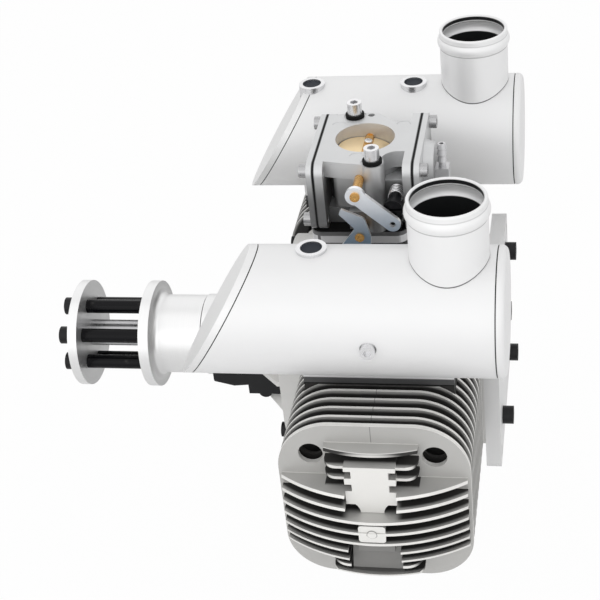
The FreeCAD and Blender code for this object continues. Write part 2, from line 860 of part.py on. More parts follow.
def muffler_can(port_x, collars):
    cap_seam = can_rear + cap_len
    shell = along_x(can_r, (can_rear, slant_foot + 1), can_y, can_z)
    edge = [e for e in shell.Edges if abs(e.BoundBox.XMax - can_rear) < 1e-3 and e.BoundBox.YLength > can_r]
    shell = shell.makeFillet(cap_len * 0.7, edge)
    hollow = along_x(can_r - can_wall, (can_rear + can_wall, slant_foot + 2), can_y, can_z)
    half = seam_w / 2
    groove = ring(can_r + 1, can_r - seam_depth, (cap_seam - half, can_y, can_z), (cap_seam + half, can_y, can_z))
    saddle_top = can_z - math.sqrt(can_r ** 2 - port_boss_half_y ** 2) + 4
    saddle = block((port_x - port_boss_half_x, port_x + port_boss_half_x),
                   (port_y - port_boss_half_y, port_y + port_boss_half_y), (flange_low, saddle_top))
    can = joined([shell.common(slanted_half(front_plate_t)), saddle])
    seats = []
    for dx in (-exhaust_screw_x, exhaust_screw_x):
        seats.append(rod(m5[1] + 2, (port_x + dx, port_y, flange_low), (port_x + dx, port_y, screw_seat())))
    band = ring(can_r + 1, can_r - seam_depth, (can_rear, can_y, can_z), (slant_foot, can_y, can_z))
    seam = band.common(slanted_half(front_plate_t)).cut(slanted_half(front_plate_t + seam_w))
    can = can.cut(hollow.cut(seats)).cut([groove, seam])
    cuts = [block((port_x - port_half_x, port_x + port_half_x), (port_y - port_half_y, port_y + port_half_y),
                  (flange_low - 1, can_z))]
    for dx in (-exhaust_screw_x, exhaust_screw_x):
        cuts.append(rod(m5[0], (port_x + dx, port_y, flange_low - 1), (port_x + dx, port_y, can_z)))
    cuts.append(rod(outlet_r, (outlet_x, can_y, can_z), (outlet_x, can_y, outlet_top)))
    for x in collars:
        cuts.append(rod(collar_r, (x, port_y, can_z), (x, port_y, outlet_top)))
    cuts.append(rod(m4[0], (side_plug_x, can_y, can_z), (side_plug_x, can_y + can_r + 1, can_z)))
    flat = can_y + can_r - side_flat
    cuts.append(rod(m4[1] + 0.5, (side_plug_x, flat, can_z), (side_plug_x, flat + 3, can_z)))
    return can.cut(cuts)


def screw_seat():
    return can_z - math.sqrt((can_r - can_wall) ** 2 - (can_y - port_y) ** 2) + 1.5


def front_plate(collars):
    """The sloping plate that closes the front of the can, cleared round a collar at its top."""
    whole = along_x(can_r, (can_rear, slant_foot + 1), can_y, can_z)
    plate = whole.common(slanted_half(0)).cut(slanted_half(front_plate_t))
    return plate.cut([rod(collar_r, (x, port_y, can_z), (x, port_y, outlet_top)) for x in collars])


def outlet():
    """The spun outlet tube: constant wall, with a bead rolled outwards under its rim."""
    low = can_z + math.sqrt(can_r ** 2 - outlet_r ** 2) - outlet_sink
    bead = outlet_top - bead_down
    place = V(outlet_x, can_y, 0)
    sides = []
    for radius, middle in ((outlet_r, bead_r), (outlet_r - outlet_wall, bead_r - outlet_wall)):
        foot = place + V(radius, 0, low)
        start = place + V(radius, 0, bead - bead_half)
        crown = place + V(middle, 0, bead)
        end = place + V(radius, 0, bead + bead_half)
        rim = place + V(radius, 0, outlet_top - rim_r)
        sides.append((foot, start, crown, end, rim))
    (foot, start, crown, end, rim), (foot_in, start_in, crown_in, end_in, rim_in) = sides
    top = place + V(outlet_r - outlet_wall / 2, 0, outlet_top)
    edges = [Part.LineSegment(foot_in, foot), Part.LineSegment(foot, start), Part.Arc(start, crown, end),
             Part.LineSegment(end, rim), Part.Arc(rim, top, rim_in), Part.LineSegment(rim_in, end_in),
             Part.Arc(end_in, crown_in, start_in), Part.LineSegment(start_in, foot_in)]
    profile = Part.Face(Part.Wire([edge.toShape() for edge in edges]))
    return profile.revolve(place, UP, 360)


def collar(x):
    inner_wall = math.sqrt((can_r - can_wall) ** 2 - (collar_r + can_y - port_y) ** 2)
    top = can_z + math.sqrt(can_r ** 2 - (can_y - port_y) ** 2) + collar_rise
    low = can_z + inner_wall - 1
    return ring(collar_r, collar_hole_r, (x, port_y, low), (x, port_y, top))


def collar_plug(x):
    top = can_z + math.sqrt(can_r ** 2 - (can_y - port_y) ** 2) + collar_rise
    return rod(collar_hole_r, (x, port_y, top - 5), (x, port_y, top - 1))


def exhaust_screws(port_x):
    places = [port_x - exhaust_screw_x, port_x + exhaust_screw_x]
    seat = screw_seat()
    return [screw(m5, (x, port_y, seat), (0, 0, -1), seat - port_top + exhaust_thread) for x in places]


def exhaust_gasket(port_x):
    outer = block((port_x - port_boss_half_x, port_x + port_boss_half_x),
                  (port_y - port_boss_half_y, port_y + port_boss_half_y), (port_top, flange_low))
    cuts = [block((port_x - port_half_x, port_x + port_half_x), (port_y - port_half_y, port_y + port_half_y),
                  (port_top - 1, flange_low + 1))]
    for dx in (-exhaust_screw_x, exhaust_screw_x):
        cuts.append(rod(m5[0], (port_x + dx, port_y, port_top - 1), (port_x + dx, port_y, flange_low + 1)))
    return outer.cut(cuts)


def side_plug():
    seat = can_y + can_r - side_flat
    return screw(m4, (side_plug_x, seat, can_z), (0, -1, 0), 6)


# --- intake -------------------------------------------------------------------------

def lower_throat(z):
    return rod(throttle_bore_r, (centre_x, 0, z[0] - 1), (centre_x, 0, z[1] + 1))


def carb_screw_holes(z):
    return [rod(carb_screw_r, (x, y, z[0] - 1), (x, y, z[1] + 1)) for x, y in carb_screws_at]


def manifold():
    foot = rectangle((centre_x - 34, centre_x + 34), (-26, 26), 6)
    head = rectangle((46.0, 96.4), (-30, 30), 6)
    base = prism_z(foot, (case_half_z, case_half_z + manifold_foot_t))
    top = prism_z(head, (manifold_top - 6, manifold_top))
    sections = []
    for half_x, half_y, z in ((28, 22, case_half_z + 1), (24, 24, manifold_top - 1)):
        outline = rectangle((centre_x - half_x, centre_x + half_x), (-half_y, half_y), 8)
        sections.append(rounded(outline, lambda u, v, z=z: V(u, v, z)).OuterWire)
    neck = Part.makeLoft(sections, True)
    hollow = block((centre_x - 17, centre_x + 17), (-12, 12), (case_half_z - 1, manifold_top - 9))
    body = joined([base, neck, top])
    cuts = [hollow, lower_throat((manifold_top - 12, manifold_top))]
    cuts += carb_screw_holes((manifold_top - 10, manifold_top))
    cuts += manifold_screw_holes()
    return body.cut(cuts)


def reed_block():
    """A flanged wedge of two reed seats, with a steel petal on each slope."""
    top = case_half_z
    low = web_r + 4
    plate = block((centre_x - reed_half_x, centre_x + reed_half_x), (-reed_half_y, reed_half_y), (top - reed_flange_t, top))
    half = reed_half_y - 3
    outline = [(-half, top - 1, 0), (-2.5, low, 0), (2.5, low, 0), (half, top - 1, 0)]
    wedge = prism_x(outline, (centre_x - 16, centre_x + 16))
    inner = [(2.5 - half, top + 1, 0), (-0.8, low + 3, 0), (0.8, low + 3, 0), (half - 2.5, top + 1, 0)]
    body = plate.fuse(wedge).cut(prism_x(inner, (centre_x - 13, centre_x + 13)))
    petals = []
    slope = (half - 2.5) / (top - 1 - low)
    for side in (-1, 1):
        head_z = top - reed_flange_t - 0.3
        head_y = half - slope * (top - 1 - head_z)
        face = [(side * head_y, head_z, 0), (side * (2.5 + slope), low + 1, 0),
                (side * (3.0 + slope), low + 1, 0), (side * (head_y + 0.5), head_z, 0)]
        petals.append(prism_x(face, (centre_x - 12, centre_x + 12)))
    return [body] + petals


def insulator():
    z = (manifold_top, insulator_top)
    body = prism_z(rectangle((47.0, 95.4), (-29, 29), 6), z)
    return body.cut([lower_throat(z)] + carb_screw_holes(z))


def base_plate():
    z = (insulator_top, base_plate_top)
    body = prism_z(rectangle((46.0, 96.4), (-30, 30), 6), z)
    return body.cut([lower_throat(z)] + carb_screw_holes(z))


def manifold_screw_holes():
    z = (case_half_z - manifold_screw_grip - 0.5, case_half_z + manifold_foot_t + 1)
    places = four(manifold_screw_x, manifold_screw_y)
    return [rod(m4[0], (centre_x + x, y, z[0]), (centre_x + x, y, z[1])) for x, y in places]


def manifold_screws():
    seat = case_half_z + manifold_foot_t
    length = manifold_foot_t + manifold_screw_grip
    places = four(manifold_screw_x, manifold_screw_y)
    return [screw(m4, (centre_x + x, y, seat), (0, 0, -1), length) for x, y in places]


# --- carburettor -----------------------------------------------------------------------

def flange_outline():
    return rectangle((-carb_half, carb_half), (carb_floor, carb_top), 6)


def carb_body():
    z = (carb_floor, carb_top)
    core = rod(throat_r + 5, (centre_x, 0, z[0]), (centre_x, 0, z[1]))
    deck = [(carb_rear, -20, 3), (carb_rear + 12, -16, 4), (centre_x - 4, -27, 5), (carb_front - 12, -28, 4),
            (carb_front, -24, 2), (carb_front, 24, 2), (carb_front - 14, 27, 4), (centre_x - 10, 30, 4),
            (deck_step_x, deck_step_y, 8), (carb_rear, deck_step_y, 1)]
    pieces = [core, prism_z(deck, (carb_top - deck_t, carb_top))]
    wall = [(carb_front - wall_gap, -wall_y, 2), (carb_front - wall_gap, wall_y - 1, 3), (centre_x + 4, wall_y, 3),
            (centre_x - 11, wall_y, 2), (deck_step_x, deck_step_y, 4), (deck_step_x, -deck_step_y, 2)]
    pieces.append(prism_z(wall, (wall_low, carb_top - 1)))
    pieces.append(prism_x(flange_outline(), (carb_front - 4.5, carb_front)))
    pieces.append(prism_x(flange_outline(), (carb_rear, carb_rear + 4.5)))
    pieces.append(block((carb_rear + 1, carb_front - 1), (-21, 21), (carb_floor, carb_floor + 9)))
    for x, y in carb_screws_at:
        pieces.append(rod(carb_boss_r, (x, y, z[0]), (x, y, z[1])))
    choke_boss = rod(6.5, (centre_x, -26, choke_z), (centre_x, wall_y, choke_z))
    throttle_boss = block((centre_x - 7, centre_x + 7), (-27, 28), (carb_floor, throttle_z + 6.5))
    pieces += [choke_boss, throttle_boss]
    (high_x, high_z), (low_x, low_z) = needles_at
    pieces.append(block((low_x - 3, high_x + 6), (10, needle_block_y), (low_z - 6, high_z + 5)))
    body = joined(pieces)
    body = body.common(block((carb_rear, carb_front), (-40, 40), z))
    cuts = [rod(throat_r, (centre_x, 0, venturi_z), (centre_x, 0, carb_top + 1))]
    cuts.append(lower_throat((carb_floor, venturi_z)))
    cuts.append(rod(choke_shaft_r + running, (centre_x, -21, choke_z), (centre_x, 32, choke_z)))
    cuts.append(rod(throttle_shaft_r + running, (centre_x, -23, throttle_z), (centre_x, 32, throttle_z)))
    cuts.append(rod(vent_r, (vent_x, vent_y, carb_top - 6), (vent_x, vent_y, carb_top + 1)))
    cuts += carb_screw_holes(z)
    for x, y in carb_screws_at:
        cuts.append(rod(spot_r, (x, y, carb_seat), (x, y, carb_top + 1)))
    grip = cover_screw_grip + 0.5
    for y, level in cover_screw_places():
        cuts.append(along_x(m4[0], (carb_rear - 1, carb_rear + grip), y, level))
        cuts.append(along_x(m4[0], (carb_front - grip, carb_front + 1), y, level))
    for x, zz in needles_at:
        cuts.append(rod(needle_r * 0.6 + running, (x, 12, zz), (x, 24, zz)))
    return body.cut(cuts)


def cover(x, outward, raised_r, raised_to):
    """A cover plate on a side of the body; outward is +1 at the front, -1 at the rear."""
    far = x + outward * cover_t
    low, high = sorted((x, far))
    plate = prism_x(flange_outline(), (low, high))
    middle = (carb_floor + carb_top) / 2
    raised = cone(raised_r + 2, raised_r, (far, 0, middle), (raised_to, 0, middle))
    holes = [along_x(m4[0], (low - 1, high + 1), y, z) for y, z in cover_screw_places()]
    return joined([plate, raised]).cut(holes)


def cover_screw_places():
    y = carb_half - cover_screw_inset
    heights = (carb_floor + cover_screw_inset, carb_top - cover_screw_inset)
    return [(sy * y, z) for sy in (-1, 1) for z in heights]


def front_cover():
    return cover(carb_front + cover_gasket_t, 1, 14, carb_front + cover_gasket_t + 5.5)


def rear_cover():
    return cover(carb_rear - cover_gasket_t, -1, 14, carb_rear - cover_gasket_t - 8.0)


def cover_gasket(x):
    return prism_x(flange_outline(), x).cut([along_x(m4[0], (x[0] - 1, x[1] + 1), y, z) for y, z in cover_screw_places()])


def carb_gaskets():
    z = (base_plate_top, carb_floor)
    foot = prism_z(rectangle((46.4, 96.0), (-29.6, 29.6), 6), z)
    made = [foot.cut([lower_throat(z)] + carb_screw_holes(z))]
    made.append(cover_gasket((carb_front, carb_front + cover_gasket_t)))
    made.append(cover_gasket((carb_rear - cover_gasket_t, carb_rear)))
    for x, y in carb_screws_at:
        made.append(ring(carb_washer_r, carb_screw_r, (x, y, carb_seat), (x, y, carb_seat + carb_washer_t)))
    return made


def cover_screws():
    made = []
    for y, z in cover_screw_places():
        front = carb_front + cover_gasket_t + cover_t
        rear = carb_rear - cover_gasket_t - cover_t
        length = cover_gasket_t + cover_t + cover_screw_grip
        made.append(screw(m4, (front, y, z), (-1, 0, 0), length))
        made.append(screw(m4, (rear, y, z), (1, 0, 0), length))
    return made


def carb_screws():
    seat = carb_seat + carb_washer_t
    length = seat - manifold_top + carb_screw_thread
    size = (carb_screw_r, carb_head_r, carb_head_h)
    return [screw(size, (x, y, seat), (0, 0, -1), length) for x, y in carb_screws_at]


def turned(shape, x, z, degrees):
    made = shape.copy()
    made.rotate(V(x, 0, z), V(0, 1, 0), degrees)
    return made


def disc(x, z, radius):
    return rod(radius, (x, 0, z - disc_t / 2), (x, 0, z + disc_t / 2))


def choke_disc_flat():
    plate = disc(centre_x, choke_z, choke_disc_r)
    return plate.cut(block((centre_x - 40, centre_x - choke_cut), (-40, 40), (choke_z - 5, choke_z + 5)))


def choke_plate():
    plate = choke_disc_flat()
    return turned(plate, centre_x, choke_z, -choke_tilt)


def choke_shaft():
    shaft = rod(choke_shaft_r, (centre_x, -20, choke_z), (centre_x, choke_lever_y, choke_z))
    end = rod(choke_shaft_r, (centre_x, choke_lever_y - 1, choke_z), (centre_x, choke_lever_y + lever_t + 0.8, choke_z))
    shaft = shaft.fuse(end).cut(choke_disc_flat())
    flat = block((centre_x - 5, centre_x + 5), (-throat_r, throat_r), (choke_z + choke_flat, choke_z + 5))
    return turned(shaft.cut(flat), centre_x, choke_z, -choke_tilt)


def arm(x, z, length, degrees, hub_radius, tip_radius, y):
    """A flat lever from its pivot to a hole in its tip, degrees from straight back downwards."""
    turn = math.radians(degrees)
    tip = V(x - length * math.cos(turn), 0, z - length * math.sin(turn))
    along = V(tip.x - x, 0, tip.z - z)
    along.normalize()
    side = V(-along.z, 0, along.x)
    start = V(x, y[0], z)
    end = V(tip.x, y[0], tip.z)
    shape = [start + side * hub_radius * 0.8, end + side * tip_radius, end - side * tip_radius,
             start - side * hub_radius * 0.8, start + side * hub_radius * 0.8]
    web_face = Part.Face(Part.makePolygon(shape)).extrude(V(0, y[1] - y[0], 0))
    parts = [rod(hub_radius, (x, y[0], z), (x, y[1], z)), rod(tip_radius, (tip.x, y[0], tip.z), (tip.x, y[1], tip.z)),
             web_face]
    return joined(parts).cut(rod(1.5, (tip.x, y[0] - 1, tip.z), (tip.x, y[1] + 1, tip.z)))


def choke_lever():
    y = (choke_lever_y, choke_lever_y + lever_t)
    lever = arm(centre_x, choke_z, choke_arm, choke_arm_angle, 5.0, 4.0, y)
    return lever.cut(rod(choke_shaft_r, (centre_x, y[0] - 1, choke_z), (centre_x, y[1] + 1, choke_z)))


def throttle_plate():
    return turned(disc(centre_x, throttle_z, throttle_disc_r), centre_x, throttle_z, throttle_tilt)


def throttle_shaft():
    shaft = rod(throttle_shaft_r, (centre_x, -22, throttle_z), (centre_x, throttle_lever_y, throttle_z))
    y = throttle_lever_y
    end = rod(2.0, (centre_x, y - 1, throttle_z), (centre_x, y + lever_t, throttle_z))
    shaft = shaft.fuse(end).cut(disc(centre_x, throttle_z, throttle_disc_r))
    return turned(shaft, centre_x, throttle_z, throttle_tilt)


def throttle_lever():
    y = (throttle_lever_y, throttle_lever_y + lever_t - 0.6)
    dx = centre_x
    dz = throttle_z
    outline = [(dx + 8.6, dz + 16.2, 0.8), (dx + 9.8, dz + 13.2, 0.8), (dx + 2.2, dz + 4.6, 1.5),
               (dx + 13.0, dz - 9.5, 2.5), (dx + 7.0, dz - 12.5, 2.5), (dx - 5.4, dz - 5.5, 3), (dx - 5.6, dz + 0.5, 3),
               (dx - 3.2, dz + 10.5, 3), (dx + 3.5, dz + 14, 2)]
    plate = prism_y(outline, y)
    cuts = [rod(2.0, (dx, y[0] - 1, dz), (dx, y[1] + 1, dz))]
    cuts.append(rod(1.3, (dx + 8.6, y[0] - 1, dz - 9.3), (dx + 8.6, y[1] + 1, dz - 9.3)))
    return plate.cut(cuts)


def needle(index):
    """An adjusting needle: thin shank in the body, plain barrel, and a head with a slot."""
    x, z = needles_at[index]
    barrel_end, head_end, head_r = ((39.5, 42.6, 5.0), (35.0, 38.0, 3.6))[index]
    parts = [rod(needle_r * 0.6, (x, 12.5, z), (x, 32, z)), rod(needle_r, (x, 31, z), (x, barrel_end, z)),
             rod(head_r, (x, barrel_end - 0.5, z), (x, head_end, z))]
    slot = block((x - head_r, x + head_r), (head_end - 1.2, head_end + 1), (z - 0.5, z + 0.5))
    return joined(parts).cut(slot)


def needle_spring(index):
    """The outer shape of the spring that holds a needle where it is set."""
    x, z = needles_at[index]
    return ring(needle_r + 0.7, needle_r * 0.6 + 0.3, (x, needle_block_y, z), (x, 30.6, z))


def fuel_nipple():
    x = carb_rear - cover_gasket_t - 8.0
    z = 105.0
    body = block((x - 7, x), (-4, 4), (z - 5, z + 5))
    stem_x = x - 3.6
    parts = [body, rod(1.9, (stem_x, 0, z), (stem_x, 0, z + 18))]
    for level in (8, 12, 15.4):
        parts.append(cone(2.5, 1.9, (stem_x, 0, z + level), (stem_x, 0, z + level + 2.6)))
    return joined(parts).cut(rod(1.1, (stem_x, 0, z), (stem_x, 0, z + 20)))


# --- ignition sensor -----------------------------------------------------------------

def ignition_sensor():
    """Hall sensor: a clamp round the nose that carries a moulded block on the left."""
    x = (nose_end - 10, nose_end)
    clamp = ring(nose_ring_r - 0.6, nose_r, (x[0], 0, 0), (x[1], 0, 0))
    shoe = block((case_front + 0.4, 141.0), (nose_r + 3, nose_r + 13), (-17.4, -rib_t / 2 - 1))
    wedge = [(140, -13.5, 0), (150, -14.5, 0), (161.4, -11.5, 1), (161.4, -2.6, 1), (140, -2.6, 0)]
    arm_plate = prism_y(wedge, (nose_r - 3, nose_r + 10))
    button = rod(3.8, (132, nose_r + 8, -16.8), (132, nose_r + 12, -16.8))
    body = joined([clamp, shoe, arm_plate, button])
    clear = cone(neck_r + 0.4, nose_r + 0.4, (case_front - 1, 0, 0), (neck_front, 0, 0))
    return body.cut([clear, along_x(nose_r, (neck_front - 1, nose_end))])


# --- export ----------------------------------------------------------------------------

def export(node, shape):
    made = Part.makeCompound(shape) if isinstance(shape, list) else shape
    made.exportStep(os.path.join("parts", node + ".step"))


def build():
    os.makedirs("parts", exist_ok=True)
    export("mount_plate", mount_plate())
    export("mount_plate_screws", plate_screws())
    export("crankcase_rear", crankcase_rear())
    export("crankcase_front", crankcase_front())
    export("crankcase_screws", case_screws())
    export("nose_ring", nose_ring())
    export("main_bearings", bearings())
    export("shaft_seal", shaft_seal())
    export("ignition_sensor", ignition_sensor())
    export("crankshaft_front", crank_front())
    export("crankshaft_middle_web", crank_middle())
    export("crankshaft_rear", crank_rear())
    export("propeller_hub", hub())
    export("ignition_magnet", magnet())
    export("front_washer", front_washer())
    export("propeller_bolts", prop_bolts())
    export("spacer_sleeves", sleeves())
    export("gaskets", [case_gasket(), base_gasket(), on_right(base_gasket()),
                       exhaust_gasket(left_x), across(exhaust_gasket(right_x))] + carb_gaskets())
    export("cylinder_screws", base_screws() + [on_right(s) for s in base_screws()])
    left = {"piston": piston(), "piston_rings": piston_rings(), "wrist_pin": wrist_pin(),
            "connecting_rod": connecting_rod(), "crankpin": crankpin(), "cylinder": cylinder()}
    for name, shape in left.items():
        export(name + "_left", shape)
        right = [on_right(s) for s in shape] if isinstance(shape, list) else on_right(shape)
        export(name + "_right", right)
    left_collars = [left_x + exhaust_screw_x]
    right_collars = [right_x - exhaust_screw_x, right_x + exhaust_screw_x]
    export("muffler_can_left", muffler_can(left_x, left_collars))
    export("muffler_can_right", across(muffler_can(right_x, right_collars)))
    export("muffler_front_plate_left", front_plate(left_collars))
    export("muffler_front_plate_right", across(front_plate(right_collars)))
    export("muffler_outlet_left", outlet())
    export("muffler_outlet_right", across(outlet()))
    rings = [collar(x) for x in left_collars] + [across(collar(x)) for x in right_collars]
    plugs = [collar_plug(x) for x in left_collars] + [across(collar_plug(x)) for x in right_collars]
    export("access_collars", rings)
    export("access_plugs", plugs)
    export("exhaust_screws", exhaust_screws(left_x) + [across(s) for s in exhaust_screws(right_x)])
    export("muffler_side_plugs", [side_plug(), across(side_plug())])
    export("reed_block", reed_block())
    export("intake_manifold", manifold())
    export("manifold_screws", manifold_screws())
    export("carb_insulator", insulator())
    export("carb_base_plate", base_plate())
    export("carb_body", carb_body())
    export("carb_front_cover", front_cover())
    export("carb_rear_cover", rear_cover())
    export("carb_screws", carb_screws() + cover_screws())
    export("choke_shaft", choke_shaft())
    export("choke_plate", choke_plate())
    export("choke_lever", choke_lever())
    export("throttle_shaft", throttle_shaft())
    export("throttle_plate", throttle_plate())
    export("throttle_lever", throttle_lever())
    export("high_needle", needle(0))
    export("low_needle", needle(1))
    export("needle_springs", [needle_spring(0), needle_spring(1)])
    export("fuel_nipple", fuel_nipple())


build()
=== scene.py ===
import json
import math

import bpy
from mathutils import Matrix, Vector


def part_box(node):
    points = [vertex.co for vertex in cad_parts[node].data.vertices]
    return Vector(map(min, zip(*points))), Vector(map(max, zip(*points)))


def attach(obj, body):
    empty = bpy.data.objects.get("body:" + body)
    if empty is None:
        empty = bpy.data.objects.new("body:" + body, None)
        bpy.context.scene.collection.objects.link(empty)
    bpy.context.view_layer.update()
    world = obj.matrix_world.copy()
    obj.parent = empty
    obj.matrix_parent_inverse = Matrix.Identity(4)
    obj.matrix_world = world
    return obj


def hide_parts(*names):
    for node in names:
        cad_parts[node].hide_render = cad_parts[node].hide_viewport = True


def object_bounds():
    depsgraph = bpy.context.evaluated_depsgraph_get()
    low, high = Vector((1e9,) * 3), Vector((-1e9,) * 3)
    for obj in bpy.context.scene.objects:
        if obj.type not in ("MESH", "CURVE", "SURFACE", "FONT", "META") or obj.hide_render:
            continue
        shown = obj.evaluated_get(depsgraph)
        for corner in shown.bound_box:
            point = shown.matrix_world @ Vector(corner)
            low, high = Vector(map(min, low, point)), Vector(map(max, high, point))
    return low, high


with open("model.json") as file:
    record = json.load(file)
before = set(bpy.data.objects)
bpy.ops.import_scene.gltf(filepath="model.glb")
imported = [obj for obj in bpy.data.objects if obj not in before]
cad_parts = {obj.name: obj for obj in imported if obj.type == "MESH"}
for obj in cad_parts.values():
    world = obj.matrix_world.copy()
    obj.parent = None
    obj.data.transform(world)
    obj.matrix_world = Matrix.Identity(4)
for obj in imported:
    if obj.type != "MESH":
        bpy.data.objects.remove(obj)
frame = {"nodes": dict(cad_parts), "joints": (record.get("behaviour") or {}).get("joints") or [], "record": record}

CAD_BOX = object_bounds()
NODES = frame["nodes"]
JOINTS = {joint["name"]: joint for joint in frame["joints"]}
MM = 0.001

# places on the castings and mufflers that the finishes follow, in metres
CENTRE_X = 0.0686               # middle of the crankcase
STAGGER = 0.0136                # axis of each cylinder, from that middle
HEAD_FACE = 0.138               # outer face of a head plate, from the crankshaft
HEAD_PLATE = 0.0028             # its thickness
BARREL_FOOT = -0.0770           # foot of the barrel fins, from that face
PORT = -0.0505                  # exhaust port, from that face
FIN_HALF_X = 0.0465             # outline of the barrel fins: half sizes, middle and corners
FIN_HALF_Z = 0.0470
FIN_MIDDLE_Z = 0.001
FIN_CORNER = 0.0255
DOME_R = 0.079                  # dome that the head fins are cut to
DOME_RISE = 0.020
DOME_Z = -0.004
SHORT_FIN_RISE = 0.0096         # short fins above the wide ones
MARK_Z = -0.00245               # round mark on the square boss
MARK_R = 0.0024
CAN_Y = 0.0916
CAN_Z = 0.0823
CAN_R = 0.0318
CAN_REAR_X = -0.0050            # where the rear cap of a can rounds off
CAN_FLANGE_TOP = 0.0499
OUTLET_X = 0.0185
OUTLET_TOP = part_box("muffler_outlet_left")[1][2]
CARB_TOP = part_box("carb_body")[1][2]
CARB_MIDDLE_X = 0.0668
BASE_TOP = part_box("carb_base_plate")[1][2]
COVER_SEAMS = (                 # middles of the two cover gaskets
    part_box("carb_rear_cover")[1][0] + 0.0005,
    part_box("carb_front_cover")[0][0] - 0.0005,
)

# small pieces of the carburettor, in metres and degrees
SPRING_R = 3.45 * MM
SPRING_WIRE_R = 0.42 * MM
SPRING_TURNS = 5
SPRING_STEPS = 28               # in each turn
WIRE_SIDES = 12
ROUND_SIDES = 48
MERGE_WITHIN = 1e-7
SAME_LEVEL = 1e-6
RIM_ANGLE = 50                  # edges sharper than this are rims
SMOOTH_BELOW = 35               # faces that meet at less than this shade as one
SCREW_HEAD_R = 2.15 * MM
SCREW_HEAD_H = 1.15 * MM
SCREW_ROUND = 0.45 * MM
SCREW_SLOT = (2.5 * MM, 0.55 * MM, 1.1 * MM)
SCREW_SLOT_TURNS = (20, 110)
SCREW_SIDE = 7.5 * MM           # each disc screw, from the middle of its shaft
SHAFT_FLATS = {"choke": (1.8 * MM, -8), "throttle": (1.9 * MM, 6)}   # height and lean
RIVET_R = 2.45 * MM
RIVET_H = 0.35 * MM
RIVET_ROUND = 0.06 * MM
RIVET_STEPS = (                 # inwards from the rim, and up from there
    (0.42 * MM, -0.18 * MM),
    (0.16 * MM, 0.24 * MM),
    (1.25 * MM, -0.20 * MM),
)
ARC_R = 3.6 * MM
ARC_THICK_R = 0.28 * MM
ARC_THICK_SIDES = 10
ARC_CUT = 0.6 * MM              # from the middle of the arc to its straight cut
DECK_ARCS = {                   # their middles on the deck, in millimetres
    "deck_arc_near": (70.5, 20.0),
    "deck_arc_front": (84.0, -14.0),
    "deck_arc_rear": (50.0, -14.0),
}

# studio
EYE = (-0.0421, 0.6619, 0.4826)
EYE_RIGHT = (-0.98184, -0.16169, -0.09924)
EYE_FORWARD = (0.18945, -0.80733, -0.55891)
SENSOR_WIDTH = 36.0
LENS = 87.6
FAR_CLIP = 20.0
AIM = (0.10, 0.0, 0.04)
SOFTBOXES = {                   # place, width and height, watts
    "key": ((0.35, 0.55, 0.95), (1.5, 1.5), 2.4),
    "front": ((0.25, 1.05, 0.10), (1.6, 1.3), 3.2),
    "fill": ((-0.75, 0.45, 0.45), (1.3, 1.3), 1.2),
    "rim": ((0.1, -0.8, 0.7), (1.5, 1.1), 0.9),
}
WORLD_LIGHT = 0.72
FLOOR_DROP = 0.12
FLOOR_SIZE = 6
FLOOR_X = 0.1
FLOOR_WHITE = 0.96              # share of plain white that the camera sees on it
FLOOR_GREY = 0.9


# --- shader maths ---------------------------------------------------------------

class Value:
    """A shader socket that can be used in ordinary arithmetic."""

    def __init__(self, finish, socket):
        self.finish = finish
        self.socket = socket

    def maths(self, operation, *others):
        return self.finish.node("ShaderNodeMath", [self, *others], operation=operation)

    def __add__(self, other):
        return self.maths("ADD", other)

    __radd__ = __add__

    def __mul__(self, other):
        return self.maths("MULTIPLY", other)

    __rmul__ = __mul__

    def __sub__(self, other):
        return self.maths("SUBTRACT", other)

    def __rsub__(self, other):
        return (self * -1) + other

    def __pow__(self, other):
        return self.maths("POWER", other)

    def size(self):
        return self.maths("ABSOLUTE")

    def above(self, other):
        return self.maths("MAXIMUM", other)

    def below(self, other):
        return self.maths("MINIMUM", other)

    def clamped(self):
        return self.finish.node("ShaderNodeClamp", [self, 0.0, 1.0])

    def band(self, low, high):
        """0 below low, 1 above high, smooth between."""
        values = {"Value": self, "From Min": low, "From Max": high}
        return self.finish.node("ShaderNodeMapRange", values, interpolation_type="SMOOTHSTEP")

    def fade(self, low, high):
        """1 below low, 0 above high, smooth between."""
        return 1 - self.band(low, high)

    def line(self, place, low, high):
        """1 within low of a place, 0 further from it than high."""
        return (self - place).size().fade(low, high)


def distance(first, *others):
    """How far a point is, from its distances along two or three axes."""
    total = first ** 2
    for other in others:
        total = total + other ** 2
    return total ** 0.5


